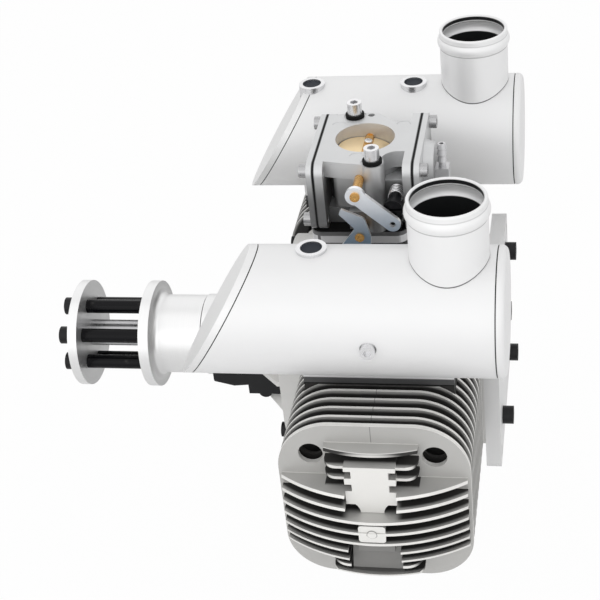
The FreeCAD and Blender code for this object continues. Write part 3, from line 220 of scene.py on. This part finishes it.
class Finish:
    """One procedural material, made from a principled shader and what varies over the surface."""

    def __init__(self, name, colour, rough, metal=0.0, specular=0.5):
        self.material = bpy.data.materials.new(name)
        self.material.use_nodes = True
        self.material.diffuse_color = (*colour, 1)
        self.tree = self.material.node_tree
        self.shader = self.tree.nodes["Principled BSDF"]
        constants = {"Base Color": (*colour, 1), "Roughness": rough, "Metallic": metal,
                     "Specular IOR Level": specular}
        for socket, value in constants.items():
            self.shader.inputs[socket].default_value = value
        self.place = self.node("ShaderNodeTexCoord", {}, "Object")

    def node(self, kind, values, output=0, **settings):
        """Adds a node: its settings first, then the values or links of its sockets."""
        made = self.tree.nodes.new(kind)
        for key, value in settings.items():
            setattr(made, key, value)
        for key, value in values.items() if isinstance(values, dict) else enumerate(values):
            if isinstance(value, Value):
                self.tree.links.new(value.socket, made.inputs[key])
            else:
                made.inputs[key].default_value = value
        return Value(self, made.outputs[output])

    def axis(self, letter):
        return self.node("ShaderNodeSeparateXYZ", [self.place], letter)

    def facing(self, letter):
        """How far the surface faces along an axis of the object, either way."""
        normal = self.node("ShaderNodeTexCoord", {}, "Normal")
        return self.node("ShaderNodeSeparateXYZ", [normal], letter).size()

    def radius(self, y, letter, at):
        """Distance from a line that lies at y on either side, and at a place on another axis."""
        return distance(self.axis("Y").size() - y, self.axis(letter) - at)

    def from_cylinder(self):
        """Distance along X from the axis of the cylinder on this side."""
        side = self.axis("Y").maths("SIGN")
        return self.axis("X") + side * STAGGER - CENTRE_X

    def rings(self, radius, along, scale):
        place = self.node("ShaderNodeCombineXYZ", [radius, along, 0.0])
        values = {"Vector": place, "Scale": scale, "Detail": 2.0}
        return self.node("ShaderNodeTexNoise", values, noise_dimensions="2D")

    def noise(self, scale, detail=3.0, stretch=(1, 1, 1)):
        place = self.node("ShaderNodeMapping", {"Vector": self.place, "Scale": stretch})
        return self.node("ShaderNodeTexNoise", {"Vector": place, "Scale": scale, "Detail": detail})

    def speckle(self, scale):
        return self.node("ShaderNodeTexVoronoi", {"Vector": self.place, "Scale": scale}, "Distance")

    def mixed(self, factor, first, second):
        """A colour between two, by factor."""
        values = {"Factor": factor, 6: first, 7: second}
        return self.node("ShaderNodeMix", values, 2, data_type="RGBA")

    def shades(self, factor, colour, dark, light):
        """A darker or lighter shade of one colour, by factor."""
        return self.mixed(factor, shade(colour, dark), shade(colour, light))

    def paint(self, socket, value):
        self.tree.links.new(value.socket, self.shader.inputs[socket])

    def bump(self, height, depth, strength=1.0):
        values = {"Height": height, "Distance": depth, "Strength": strength}
        self.paint("Normal", self.node("ShaderNodeBump", values))


def shade(colour, factor):
    return (*[c * factor for c in colour], 1)


# --- where a finish turns dark: painted shade and shadow, dark seams, joints and gasket ---

def can_radius(finish):
    """Distance from the middle line of the nearer muffler can."""
    return finish.radius(CAN_Y, "Z", CAN_Z)


def seams_and_flange_shadow(finish):
    """The rolled seam grooves of a can and its sooty inside, and painted shadow of the can on its flange."""
    sunk = can_radius(finish).fade(CAN_R - 0.0004, CAN_R - 0.0001)
    groove = sunk * finish.axis("X").band(CAN_REAR_X - 0.0002, CAN_REAR_X + 0.0002)
    # painted shadow of the can over its flange, near black
    flange = finish.axis("Z").fade(CAN_FLANGE_TOP - 0.0004, CAN_FLANGE_TOP + 0.0004)
    return groove.above(flange * 0.9)


def outlet_shade_and_foot_joint(finish):
    """Painted shade in the hollow of an outlet's bead and painted shade deep inside below its bright band;
    outside, painted shade along the edges of the bead, and the dark joint at its foot."""
    inside = finish.radius(CAN_Y, "X", OUTLET_X).fade(0.0176, 0.0180)
    down = OUTLET_TOP - finish.axis("Z")
    # inside: painted shade in the bead's hollow, a painted shade line at its inner edge, painted shade deep down;
    # outside: painted shade lines along the bead; the foot is a dark joint
    hollow = down.band(0.0006, 0.0009) * down.fade(0.0026, 0.0029)
    edge_inside = down.line(0.0036, 0.0001, 0.0003) * 0.8
    deep_shade = down.band(0.0092, 0.0098)
    bead = down.line(0.0096, 0.0001, 0.0005) * 0.42 + down.line(0.0033, 0.0001, 0.0004) * 0.25
    foot = can_radius(finish).fade(CAN_R + 0.0003, CAN_R + 0.0007) * 0.9
    return ((hollow + edge_inside + deep_shade) * inside + bead * (1 - inside) + foot).clamped()


def cover_seam_shade(finish):
    """Painted shade beside the gaskets of the two covers."""
    x = finish.axis("X")
    beside = (COVER_SEAMS[0] - x).size().below((COVER_SEAMS[1] - x).size())
    return beside.fade(0.0007, 0.0009)


def gasket_sheet_and_seam_shade(finish):
    """The painted shade by the covers, and the gasket sheet on the base plate."""
    z = finish.axis("Z")
    sheet = (z.band(BASE_TOP - 0.0024, BASE_TOP - 0.0022)
             * z.fade(BASE_TOP + 0.0001, BASE_TOP + 0.0003))
    return (cover_seam_shade(finish) + sheet * 1.2).clamped()


def under_deck_shade(finish):
    """Painted shade in the hollows of the carburettor casting, darker away from its deck, and the painted shade by
    the covers.
    """
    down = CARB_TOP - finish.axis("Z")
    wall = finish.facing("Z").fade(0.5, 0.8)
    # painted shade on the walls, deeper below the deck
    hollow = down.band(0.001, 0.022) * wall * 0.88
    return (hollow + cover_seam_shade(finish)).clamped()


def barrel_gaps(x, z, out):
    """Depth of the gaps between the barrel fins, from their rounded outline inwards, as a mask for painted shade.
    """
    from_side = x.size() - (FIN_HALF_X - FIN_CORNER)
    from_top = (z - FIN_MIDDLE_Z).size() - (FIN_HALF_Z - FIN_CORNER)
    corner = distance(from_side.above(0.0), from_top.above(0.0))
    deep = FIN_CORNER - (corner + from_side.above(from_top).below(0.0))
    return deep.band(0.0004, 0.0024) * out.band(BARREL_FOOT - 0.0002, BARREL_FOOT + 0.0002)


def head_gaps(x, z, out, level, pad):
    """Depth of the gaps between the head fins, as a mask for painted shade: less in the plug notch and none on the
    pad.
    """
    deep = DOME_R - distance(x, out + (DOME_R - DOME_RISE), z - DOME_Z)
    wide = deep.band(0.0005, 0.0026) * z.fade(0.0180, 0.0183)
    beside_short = x.size().fade(0.0226, 0.0228) * z.fade(0.0378, 0.0381)
    short = (SHORT_FIN_RISE - out).band(0.0006, 0.0030) * beside_short
    ledge = (x.size().fade(0.0105, 0.0150) * level.band(0.7, 0.9)
             * out.band(0.0090, 0.0140) * z.band(0.0046, 0.0048))
    in_notch = x.size().fade(0.0127, 0.0128) * z.fade(-0.0098, -0.0096)
    return wide.above(short) * (1 - pad) * (1 - ledge) * (1 - in_notch * 0.30)


# --- finishes ---------------------------------------------------------------------

def satin_silver(name, colour, rough, dark_at):
    """Bead-blasted and anodised sheet: fine even grain with faint cloudy patches."""
    finish = Finish(name, colour, rough, 0.25, specular=0.3)
    cloud = finish.noise(28.0)
    fine = finish.noise(2600.0, 2.0)
    surface = finish.shades(cloud, colour, 0.965, 1.01)
    # dark seam grooves and joints, and painted shade and painted shadow, where dark_at says
    finish.paint("Base Color", finish.mixed(dark_at(finish), surface, (0.020, 0.021, 0.022, 1)))
    finish.paint("Roughness", cloud * 0.10 + fine * 0.06 + (rough - 0.08))
    finish.bump(fine, 0.000012)
    return finish.material


def turned_silver(name, colour, rough):
    """Lathe-turned aluminium: rings of fine lines about the crankshaft, and faces painted darker than rims as
    painted shade for the reflection of a turned face.
    """
    finish = Finish(name, colour, rough, 0.75)
    radius = finish.radius(0.0, "Z", 0.0)
    lines = finish.rings(radius, finish.axis("X"), 2200.0)
    broad = finish.rings(radius, finish.axis("X"), 160.0)
    cloud = finish.noise(35.0)
    face = finish.facing("X").band(0.6, 0.9)
    rim = finish.shades(lines * 0.6 + cloud * 0.4, colour, 0.93, 1.03)
    # painted shade: the faces darker than the rims, with broad rings, for the reflection of a turned face
    flat = finish.shades(lines * 0.4 + broad * 0.6, colour, 0.56, 0.86)
    finish.paint("Base Color", finish.mixed(face, rim, flat))
    finish.paint("Roughness", lines * 0.12 + (rough - 0.06))
    finish.bump(lines, 0.000008)
    return finish.material


def brushed_sheet(name, colour, rough, metal=0.5):
    """Rolled sheet with faint drawn lines across it."""
    finish = Finish(name, colour, rough, metal)
    lines = finish.noise(900.0, 2.0, (0.15, 1, 0.15))
    cloud = finish.noise(30.0)
    finish.paint("Base Color", finish.shades(lines * 0.5 + cloud * 0.5, colour, 0.95, 1.02))
    finish.paint("Roughness", lines * 0.12 + (rough - 0.06))
    finish.bump(lines, 0.000008)
    return finish.material


def fin_casting(name, colour, rough):
    """Blasted casting: cut fin edges, with a painted highlight, and pads are bright; the flat sides of the fins
    are in painted shade, and painted shade darkens the gaps with their depth.
    """
    finish = Finish(name, colour, rough, 0.45)
    cloud = finish.noise(45.0)
    sand = finish.noise(1500.0)
    x = finish.from_cylinder()
    z = finish.axis("Z")
    out = finish.axis("Y").size() - HEAD_FACE
    along = finish.facing("Y")
    level = finish.facing("Z")
    on_head = out.band(0.0002, 0.0005)
    barrel = out.fade(-HEAD_PLATE - 0.0001, -HEAD_PLATE + 0.0001)

    # cut edges with a painted highlight, the flat sides of the fins in painted shade, the head plate and the pad
    flat = along * (1 - on_head) + level * on_head
    edge = flat.fade(0.35, 0.75)
    face = along.band(0.6, 0.9) * (1 - on_head) * (1 - barrel)
    pad = along.band(0.8, 0.95) * out.band(0.0115, 0.0119)
    tip = finish.shades(cloud, colour, 1.42, 1.60)
    side = finish.shades(cloud, colour, 0.80, 0.96)
    plain = finish.shades(cloud * 0.7 + sand * 0.3, colour, 0.88, 1.06)
    surface = finish.mixed(face, finish.mixed(edge, side, tip), plain)
    surface = finish.mixed(pad, surface, shade(colour, 1.62))

    # painted shade in the gaps between the fins, and painted shadow of the muffler in the room under its flange
    gaps = head_gaps(x, z, out, level, pad) * on_head + barrel_gaps(x, z, out) * barrel
    flange_shadow = (x.size().fade(0.0372, 0.0374) * out.line(PORT, 0.0160, 0.0164)
                    * z.band(0.034, 0.038))
    deep = gaps.clamped().above(flange_shadow)
    # near-black painted shade and shadow
    surface = finish.mixed(deep * 0.97, surface, (0.018, 0.017, 0.016, 1))

    # painted shade round the edge of the raised round mark on the square boss
    ring = distance(x, z - MARK_Z).line(MARK_R, 0.0001, 0.0003) * pad
    surface = finish.mixed(ring * 0.6, surface, (0.10, 0.10, 0.10, 1))

    # the flash line of the casting, over the top of the end plate
    flash = x.size().fade(0.0001, 0.0003) * z.band(0.0384, 0.0386) * (face + barrel).clamped()
    surface = finish.mixed(flash * 0.55, surface, (0.06, 0.06, 0.06, 1))
    finish.paint("Base Color", surface)
    finish.paint("Roughness", sand * 0.16 + (rough - 0.08) + deep * 0.2)
    finish.bump(sand, 0.00004)
    return finish.material


def casting(name, colour, rough, grit=1300.0, depth=0.00004, metal=0.5, dark_at=None):
    """Die-cast or sand-cast aluminium with an even fine grit; where dark_at says, painted shade in hollows and by
    seams, and a dark gasket sheet.
    """
    finish = Finish(name, colour, rough, metal)
    cloud = finish.noise(60.0)
    sand = finish.noise(grit)
    surface = finish.shades(cloud * 0.6 + sand * 0.4, colour, 0.88, 1.08)
    if dark_at:
        # painted shade, and the dark gasket sheet, where dark_at says
        surface = finish.mixed(dark_at(finish), surface, shade(colour, 0.22))
    finish.paint("Base Color", surface)
    finish.paint("Roughness", sand * 0.2 + (rough - 0.1))
    finish.bump(sand, depth)
    return finish.material


def black_oxide(name, colour, rough, metal=0.35, specular=0.3):
    """Oiled black oxide on steel, a little brown where it wears."""
    finish = Finish(name, colour, rough, metal, specular=specular)
    cloud = finish.noise(180.0)
    fine = finish.noise(2400.0, 2.0)
    worn = cloud.band(0.62, 0.78)
    finish.paint("Base Color", finish.mixed(worn, (*colour, 1), (0.030, 0.029, 0.028, 1)))
    finish.paint("Roughness", fine * 0.16 + (rough - 0.08))
    finish.bump(fine, 0.00001)
    return finish.material


def bright_plating(name, colour, rough, metal=0.95):
    """Zinc or nickel plating with faint cloudy patches."""
    finish = Finish(name, colour, rough, metal)
    cloud = finish.noise(150.0)
    fine = finish.noise(1800.0, 2.0)
    finish.paint("Base Color", finish.shades(cloud, colour, 0.88, 1.08))
    finish.paint("Roughness", cloud * 0.14 + fine * 0.06 + (rough - 0.1))
    finish.bump(fine, 0.000008)
    return finish.material


def carb_screw_plating(name, colour, rough):
    """Bright mounting screws; those of the two covers, in front and behind, are duller."""
    finish = Finish(name, colour, rough, 0.9)
    cloud = finish.noise(150.0)
    in_cover = (finish.axis("X") - CARB_MIDDLE_X).size().band(0.0195, 0.0205)
    bright = finish.shades(cloud, colour, 0.9, 1.08)
    dull = finish.shades(cloud, colour, 0.42, 0.60)
    finish.paint("Base Color", finish.mixed(in_cover, bright, dull))
    finish.paint("Roughness", cloud * 0.14 + (rough - 0.07))
    finish.bump(finish.noise(1800.0, 2.0), 0.000008)
    return finish.material


def lever_plating(name, pale, blue, edge, rough):
    """Blue-passivated zinc: paler high up, bluer low down, with a painted highlight on the sheared edges."""
    finish = Finish(name, pale, rough, 0.75)
    cloud = finish.noise(120.0)
    height = finish.axis("Z").band(0.086, 0.121)
    flat = finish.facing("Y").band(0.55, 0.9)
    paleness = (height + (cloud - 0.5) * 0.25).clamped()
    side = finish.mixed(paleness, (*blue, 1), (*pale, 1))
    # painted highlight on the sheared edges, which face away from Y
    finish.paint("Base Color", finish.mixed(flat, (*edge, 1), side))
    finish.paint("Roughness", cloud * 0.12 + (rough - 0.06))
    finish.bump(finish.noise(1500.0, 2.0), 0.000008)
    return finish.material


def ground_steel(name, colour, rough):
    """Ground steel with fine lines round the shaft."""
    finish = Finish(name, colour, rough, 0.95)
    lines = finish.noise(700.0, 2.0, (1, 0.1, 0.1))
    cloud = finish.noise(60.0)
    finish.paint("Base Color", finish.shades(lines * 0.5 + cloud * 0.5, colour, 0.82, 1.12))
    finish.paint("Roughness", lines * 0.16 + (rough - 0.08))
    finish.bump(lines, 0.000008)
    return finish.material


def brass(name, colour, rough):
    """Plain brass: warm, with darker tarnish in patches."""
    finish = Finish(name, colour, rough, 0.7)
    cloud = finish.noise(140.0)
    fine = finish.noise(1500.0, 2.0)
    tarnish = cloud.band(0.52, 0.8)
    finish.paint("Base Color", finish.shades(tarnish * 0.8, colour, 1, 0.72))
    finish.paint("Roughness", cloud * 0.14 + fine * 0.08 + (rough - 0.11))
    finish.bump(fine, 0.00001)
    return finish.material


def black_rubber(name, colour, rough):
    """Matt rubber or gasket sheet with a fine grain."""
    finish = Finish(name, colour, rough, specular=0.18)
    cloud = finish.noise(80.0)
    finish.paint("Base Color", finish.shades(cloud, colour, 0.8, 1.35))
    finish.paint("Roughness", cloud * 0.12 + (rough - 0.06))
    finish.bump(finish.speckle(2200.0), 0.00002, 0.6)
    return finish.material


def moulded_black(name, colour, rough):
    """Moulded black plastic with a light spark-eroded texture."""
    finish = Finish(name, colour, rough, specular=0.25)
    fine = finish.noise(1700.0)
    cloud = finish.noise(70.0)
    finish.paint("Base Color", finish.shades(cloud, colour, 0.8, 1.5))
    finish.paint("Roughness", fine * 0.2 + (rough - 0.1))
    finish.bump(fine, 0.00003)
    return finish.material


FINISHES = {name: kind(name, *looks) for name, kind, *looks in (
    ("turned_aluminium", turned_silver, (0.82, 0.82, 0.82), 0.34),
    ("plate_aluminium", brushed_sheet, (0.76, 0.76, 0.76), 0.45),
    ("muffler_silver", satin_silver, (0.84, 0.84, 0.843), 0.48, seams_and_flange_shadow),
    ("muffler_plate", brushed_sheet, (0.82, 0.82, 0.82), 0.42, 0.35),
    ("outlet_silver", satin_silver, (0.88, 0.88, 0.883), 0.40, outlet_shade_and_foot_joint),
    ("cast_aluminium", fin_casting, (0.53, 0.525, 0.51), 0.52),
    ("case_aluminium", casting, (0.72, 0.715, 0.70), 0.55),
    ("carb_casting", casting, (0.64, 0.645, 0.65), 0.46, 1600.0, 0.00003, 0.6, under_deck_shade),
    ("carb_plate", casting, (0.62, 0.62, 0.63), 0.38, 2200.0, 0.000012, 0.7, gasket_sheet_and_seam_shade),
    ("piston_alloy", casting, (0.62, 0.62, 0.61), 0.35, 2000.0, 0.00001, 0.9),
    ("ring_iron", ground_steel, (0.20, 0.20, 0.20), 0.35),
    ("forged_steel", ground_steel, (0.50, 0.50, 0.51), 0.30),
    ("black_steel", black_oxide, (0.012, 0.012, 0.013), 0.40),
    ("sleeve_black", black_oxide, (0.003, 0.003, 0.004), 0.20, 0.0, 0.14),
    ("bright_steel", bright_plating, (0.74, 0.74, 0.75), 0.26),
    ("cover_screws", carb_screw_plating, (0.78, 0.78, 0.79), 0.26),
    ("lever_zinc", lever_plating, (0.88, 0.91, 0.95), (0.22, 0.31, 0.41), (0.90, 0.91, 0.93),
     0.34),
    ("brass_yellow", brass, (0.96, 0.76, 0.47), 0.34),
    ("shaft_brass", brass, (0.66, 0.38, 0.12), 0.26),
    ("gasket_black", black_rubber, (0.004, 0.004, 0.004), 0.75),
    ("plug_rubber", black_rubber, (0.016, 0.020, 0.028), 0.55),
    ("insulator_black", moulded_black, (0.010, 0.010, 0.010), 0.50),
    ("sensor_black", moulded_black, (0.007, 0.007, 0.008), 0.42),
    ("needle_black", black_oxide, (0.003, 0.003, 0.004), 0.34, 0.0, 0.14),
    ("magnet_nickel", bright_plating, (0.70, 0.69, 0.66), 0.18),
)}

# nodes that look a little different from the rest of their slot
OWN_FINISH = {
    "carb_screws": "cover_screws",
    "choke_shaft": "shaft_brass",
    "throttle_shaft": "shaft_brass",
}


def dress_frame():
    """Gives every CAD node the finish of its material slot."""
    for part in frame["record"]["subparts"]:
        slots = NODES[part["node"]].data.materials
        slots.clear()
        slots.append(FINISHES[OWN_FINISH.get(part["node"], part["material_slot"])])


# --- small pieces of the carburettor ------------------------------------------------

def only(piece=None):
    """Nothing but this piece is selected, and it is the active one."""
    bpy.ops.object.select_all(action="DESELECT")
    if piece:
        piece.select_set(True)
        bpy.context.view_layer.objects.active = piece


def settled():
    """Applies the place, turn and scale of the selected piece, so its origin is the row's."""
    bpy.ops.object.transform_apply(location=True, rotation=True, scale=True)


def new_cylinder(name, radius, depth):
    """A round bar standing on the origin along Z, to be shaped and then placed."""
    only()
    bpy.ops.mesh.primitive_cylinder_add(vertices=ROUND_SIDES, radius=radius, depth=depth,
                                        location=(0, 0, depth / 2))
    piece = bpy.context.object
    piece.name = name
    settled()
    return piece


def modified(piece, kind, **settings):
    """Adds a modifier with its settings and applies it."""
    modifier = piece.modifiers.new(kind.lower(), kind)
    for key, value in settings.items():
        setattr(modifier, key, value)
    only(piece)
    bpy.ops.object.modifier_apply(modifier=modifier.name)


def rounded_rims(piece, width, segments=2):
    modified(piece, "BEVEL", width=width, segments=segments,
             limit_method="ANGLE", angle_limit=math.radians(RIM_ANGLE))


def cut_away(piece, cutter):
    """Takes one closed piece out of another and removes the cutter."""
    modified(piece, "BOOLEAN", operation="DIFFERENCE", solver="EXACT", object=cutter)
    bpy.data.objects.remove(cutter, do_unlink=True)


def inset_step(piece, height, inset, sink):
    """In edit mode, insets the top face at a height and pushes the middle in or out."""
    bpy.ops.mesh.select_all(action="DESELECT")
    bpy.ops.object.mode_set(mode="OBJECT")
    for face in piece.data.polygons:
        face.select = face.normal.z > 0.9 and abs(face.center.z - height) < SAME_LEVEL
    bpy.ops.object.mode_set(mode="EDIT")
    bpy.ops.mesh.inset(thickness=inset)
    bpy.ops.mesh.extrude_region_move(TRANSFORM_OT_translate={"value": (0, 0, sink)})


def fitted(piece, place, upward, finish, body):
    """Turns a piece that stands along Z to stand along upward, moves it, and dresses it."""
    piece.rotation_mode = "QUATERNION"
    piece.rotation_quaternion = Vector((0, 0, 1)).rotation_difference(Vector(upward))
    piece.location = place
    only(piece)
    settled()
    bpy.ops.object.shade_smooth_by_angle(angle=math.radians(SMOOTH_BELOW))
    piece.data.materials.clear()
    piece.data.materials.append(FINISHES[finish])
    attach(piece, body)


def coil_spring(name, place, length):
    """An open coil of round wire with its ends closed, along Y from place."""
    only()
    bpy.ops.mesh.primitive_circle_add(vertices=WIRE_SIDES, radius=SPRING_WIRE_R,
                                      location=(0, 0, 0), rotation=(math.pi / 2, 0, 0))
    spring = bpy.context.object
    spring.name = name
    spring.location = (SPRING_R, 0, SPRING_WIRE_R)
    settled()
    modified(spring, "SCREW", axis="Z", iterations=SPRING_TURNS, steps=SPRING_STEPS,
             render_steps=SPRING_STEPS, screw_offset=(length - 2 * SPRING_WIRE_R) / SPRING_TURNS)
    bpy.ops.object.mode_set(mode="EDIT")
    bpy.ops.mesh.select_all(action="SELECT")
    bpy.ops.mesh.remove_doubles(threshold=MERGE_WITHIN)
    bpy.ops.mesh.fill_holes(sides=0)
    bpy.ops.mesh.select_all(action="SELECT")
    bpy.ops.mesh.normals_make_consistent(inside=False)
    bpy.ops.object.mode_set(mode="OBJECT")
    fitted(spring, place, (0, 1, 0), "bright_steel", "engine")
    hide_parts("needle_springs")


def needle_springs():
    low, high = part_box("needle_springs")
    for name, joint in (("spring_high", "high_needle_turn"), ("spring_low", "low_needle_turn")):
        pivot = JOINTS[joint]["pos_m"]
        coil_spring(name, (pivot[0], low[1], pivot[2]), high[1] - low[1])


def disc_screw(name, place, upward, body):
    """A small pan-head screw with a cross recess, which holds a disc to its shaft."""
    screw = new_cylinder(name, SCREW_HEAD_R, SCREW_HEAD_H)
    rounded_rims(screw, SCREW_ROUND, 3)
    for turn in SCREW_SLOT_TURNS:
        only()
        bpy.ops.mesh.primitive_cube_add(size=1, location=(0, 0, SCREW_HEAD_H),
                                        rotation=(0, 0, math.radians(turn)))
        bar = bpy.context.object
        bar.scale = SCREW_SLOT
        settled()
        cut_away(screw, bar)
    fitted(screw, place, upward, "bright_steel", body)


def lever_rivet(name, place, body):
    """The peened end of a shaft in its lever: a low dome with a ring round it and a dimple."""
    rivet = new_cylinder(name, RIVET_R, RIVET_H)
    bpy.ops.object.mode_set(mode="EDIT")
    height = RIVET_H
    for inset, sink in RIVET_STEPS:
        inset_step(rivet, height, inset, sink)
        height += sink
    bpy.ops.object.mode_set(mode="OBJECT")
    rounded_rims(rivet, RIVET_ROUND)
    fitted(rivet, place, (0, 1, 0), "shaft_brass", body)


def shaft_details():
    """The screws and the rivet of each shaft."""
    for body, (flat, lean) in SHAFT_FLATS.items():
        pivot = JOINTS[f"{body}_turn"]["pos_m"]
        upward = Vector((math.sin(math.radians(lean)), 0, math.cos(math.radians(lean))))
        for side, word in ((-1, "far"), (1, "near")):
            seat = Vector((pivot[0], side * SCREW_SIDE, pivot[2])) + upward * flat
            disc_screw(f"{body}_disc_screw_{word}", seat, upward, body)
        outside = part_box(f"{body}_shaft")[1][1]
        lever_rivet(f"{body}_rivet", (pivot[0], outside, pivot[2]), body)


def deck_arc(name, x, y):
    """A low raised arc on the deck, the edge of a boss in the casting."""
    only()
    bpy.ops.mesh.primitive_torus_add(major_radius=ARC_R, minor_radius=ARC_THICK_R,
                                     major_segments=ROUND_SIDES, minor_segments=ARC_THICK_SIDES,
                                     location=(0, 0, 0))
    arc = bpy.context.object
    arc.name = name
    bpy.ops.object.mode_set(mode="EDIT")
    bpy.ops.mesh.select_all(action="SELECT")
    bpy.ops.mesh.bisect(plane_co=(0, -ARC_CUT, 0), plane_no=(0, -1, 0),
                        use_fill=True, clear_inner=True)
    bpy.ops.object.mode_set(mode="OBJECT")
    fitted(arc, (x * MM, y * MM, CARB_TOP), (0, 0, 1), "carb_casting", "engine")


def detail_carburettor():
    needle_springs()
    shaft_details()
    for name, place in DECK_ARCS.items():
        deck_arc(name, *place)


# --- studio -------------------------------------------------------------------------

def camera():
    data = bpy.data.cameras.new("camera")
    data.sensor_width = SENSOR_WIDTH
    data.lens = LENS
    data.clip_end = FAR_CLIP
    forward = Vector(EYE_FORWARD).normalized()
    right = Vector(EYE_RIGHT)
    right = (right - forward * right.dot(forward)).normalized()
    turn = Matrix((right, right.cross(forward), -forward)).transposed()
    eye = bpy.data.objects.new("camera", data)
    eye.matrix_world = Matrix.Translation(EYE) @ turn.to_4x4()
    bpy.context.scene.collection.objects.link(eye)
    bpy.context.scene.camera = eye


def linked(tree, kind, *sources, **settings):
    """Adds a node to a tree, with its inputs linked in order to the outputs of others."""
    made = tree.nodes.new(kind)
    for key, value in settings.items():
        setattr(made, key, value)
    for socket, source in zip(made.inputs, sources):
        tree.links.new(source, socket)
    return made


def background(tree, strength):
    made = linked(tree, "ShaderNodeBackground")
    made.inputs["Color"].default_value = (1, 1, 1, 1)
    made.inputs["Strength"].default_value = strength
    return made.outputs[0]


def pale_world(light):
    """The world lights the engine plainly and shows as white to the camera and in the metal."""
    world = bpy.data.worlds.new("studio")
    bpy.context.scene.world = world
    world.use_nodes = True
    tree = world.node_tree
    tree.nodes.clear()
    path = linked(tree, "ShaderNodeLightPath").outputs
    seen = linked(tree, "ShaderNodeMath", path["Is Camera Ray"], path["Is Glossy Ray"],
                  operation="MAXIMUM").outputs[0]
    shown = linked(tree, "ShaderNodeMath", seen, path["Is Transmission Ray"],
                   operation="MAXIMUM").outputs[0]
    mix = linked(tree, "ShaderNodeMixShader", shown,
                 background(tree, light), background(tree, 1.0))
    linked(tree, "ShaderNodeOutputWorld", mix.outputs[0])


def softbox(name, place, size, power):
    data = bpy.data.lights.new(name, "AREA")
    data.shape = "RECTANGLE"
    data.size, data.size_y = size
    data.energy = power
    lamp = bpy.data.objects.new(name, data)
    lamp.location = place
    lamp.rotation_euler = (Vector(AIM) - Vector(place)).to_track_quat("-Z", "Y").to_euler()
    bpy.context.scene.collection.objects.link(lamp)


def pale_floor(drop):
    """A plain floor under the engine that shows white but keeps its shadow."""
    low = CAD_BOX[0][2] - drop
    only()
    bpy.ops.mesh.primitive_plane_add(size=FLOOR_SIZE, location=(FLOOR_X, 0, low))
    floor = bpy.context.object
    floor.name = "floor"
    material = bpy.data.materials.new("floor")
    material.use_nodes = True
    tree = material.node_tree
    grey = tree.nodes["Principled BSDF"]
    grey.inputs["Base Color"].default_value = (FLOOR_GREY, FLOOR_GREY, FLOOR_GREY, 1)
    grey.inputs["Roughness"].default_value = 0.9
    path = linked(tree, "ShaderNodeLightPath").outputs
    share = linked(tree, "ShaderNodeMath", path["Is Camera Ray"], operation="MULTIPLY")
    share.inputs[1].default_value = FLOOR_WHITE
    glow = linked(tree, "ShaderNodeEmission")
    mix = linked(tree, "ShaderNodeMixShader", share.outputs[0], grey.outputs[0], glow.outputs[0])
    tree.links.new(mix.outputs[0], tree.nodes["Material Output"].inputs[0])
    floor.data.materials.append(material)


def studio():
    bpy.context.scene.view_settings.view_transform = "Standard"
    pale_world(WORLD_LIGHT)
    for name, looks in SOFTBOXES.items():
        softbox(name, *looks)
    pale_floor(FLOOR_DROP)
    camera()


dress_frame()
detail_carburettor()
studio()
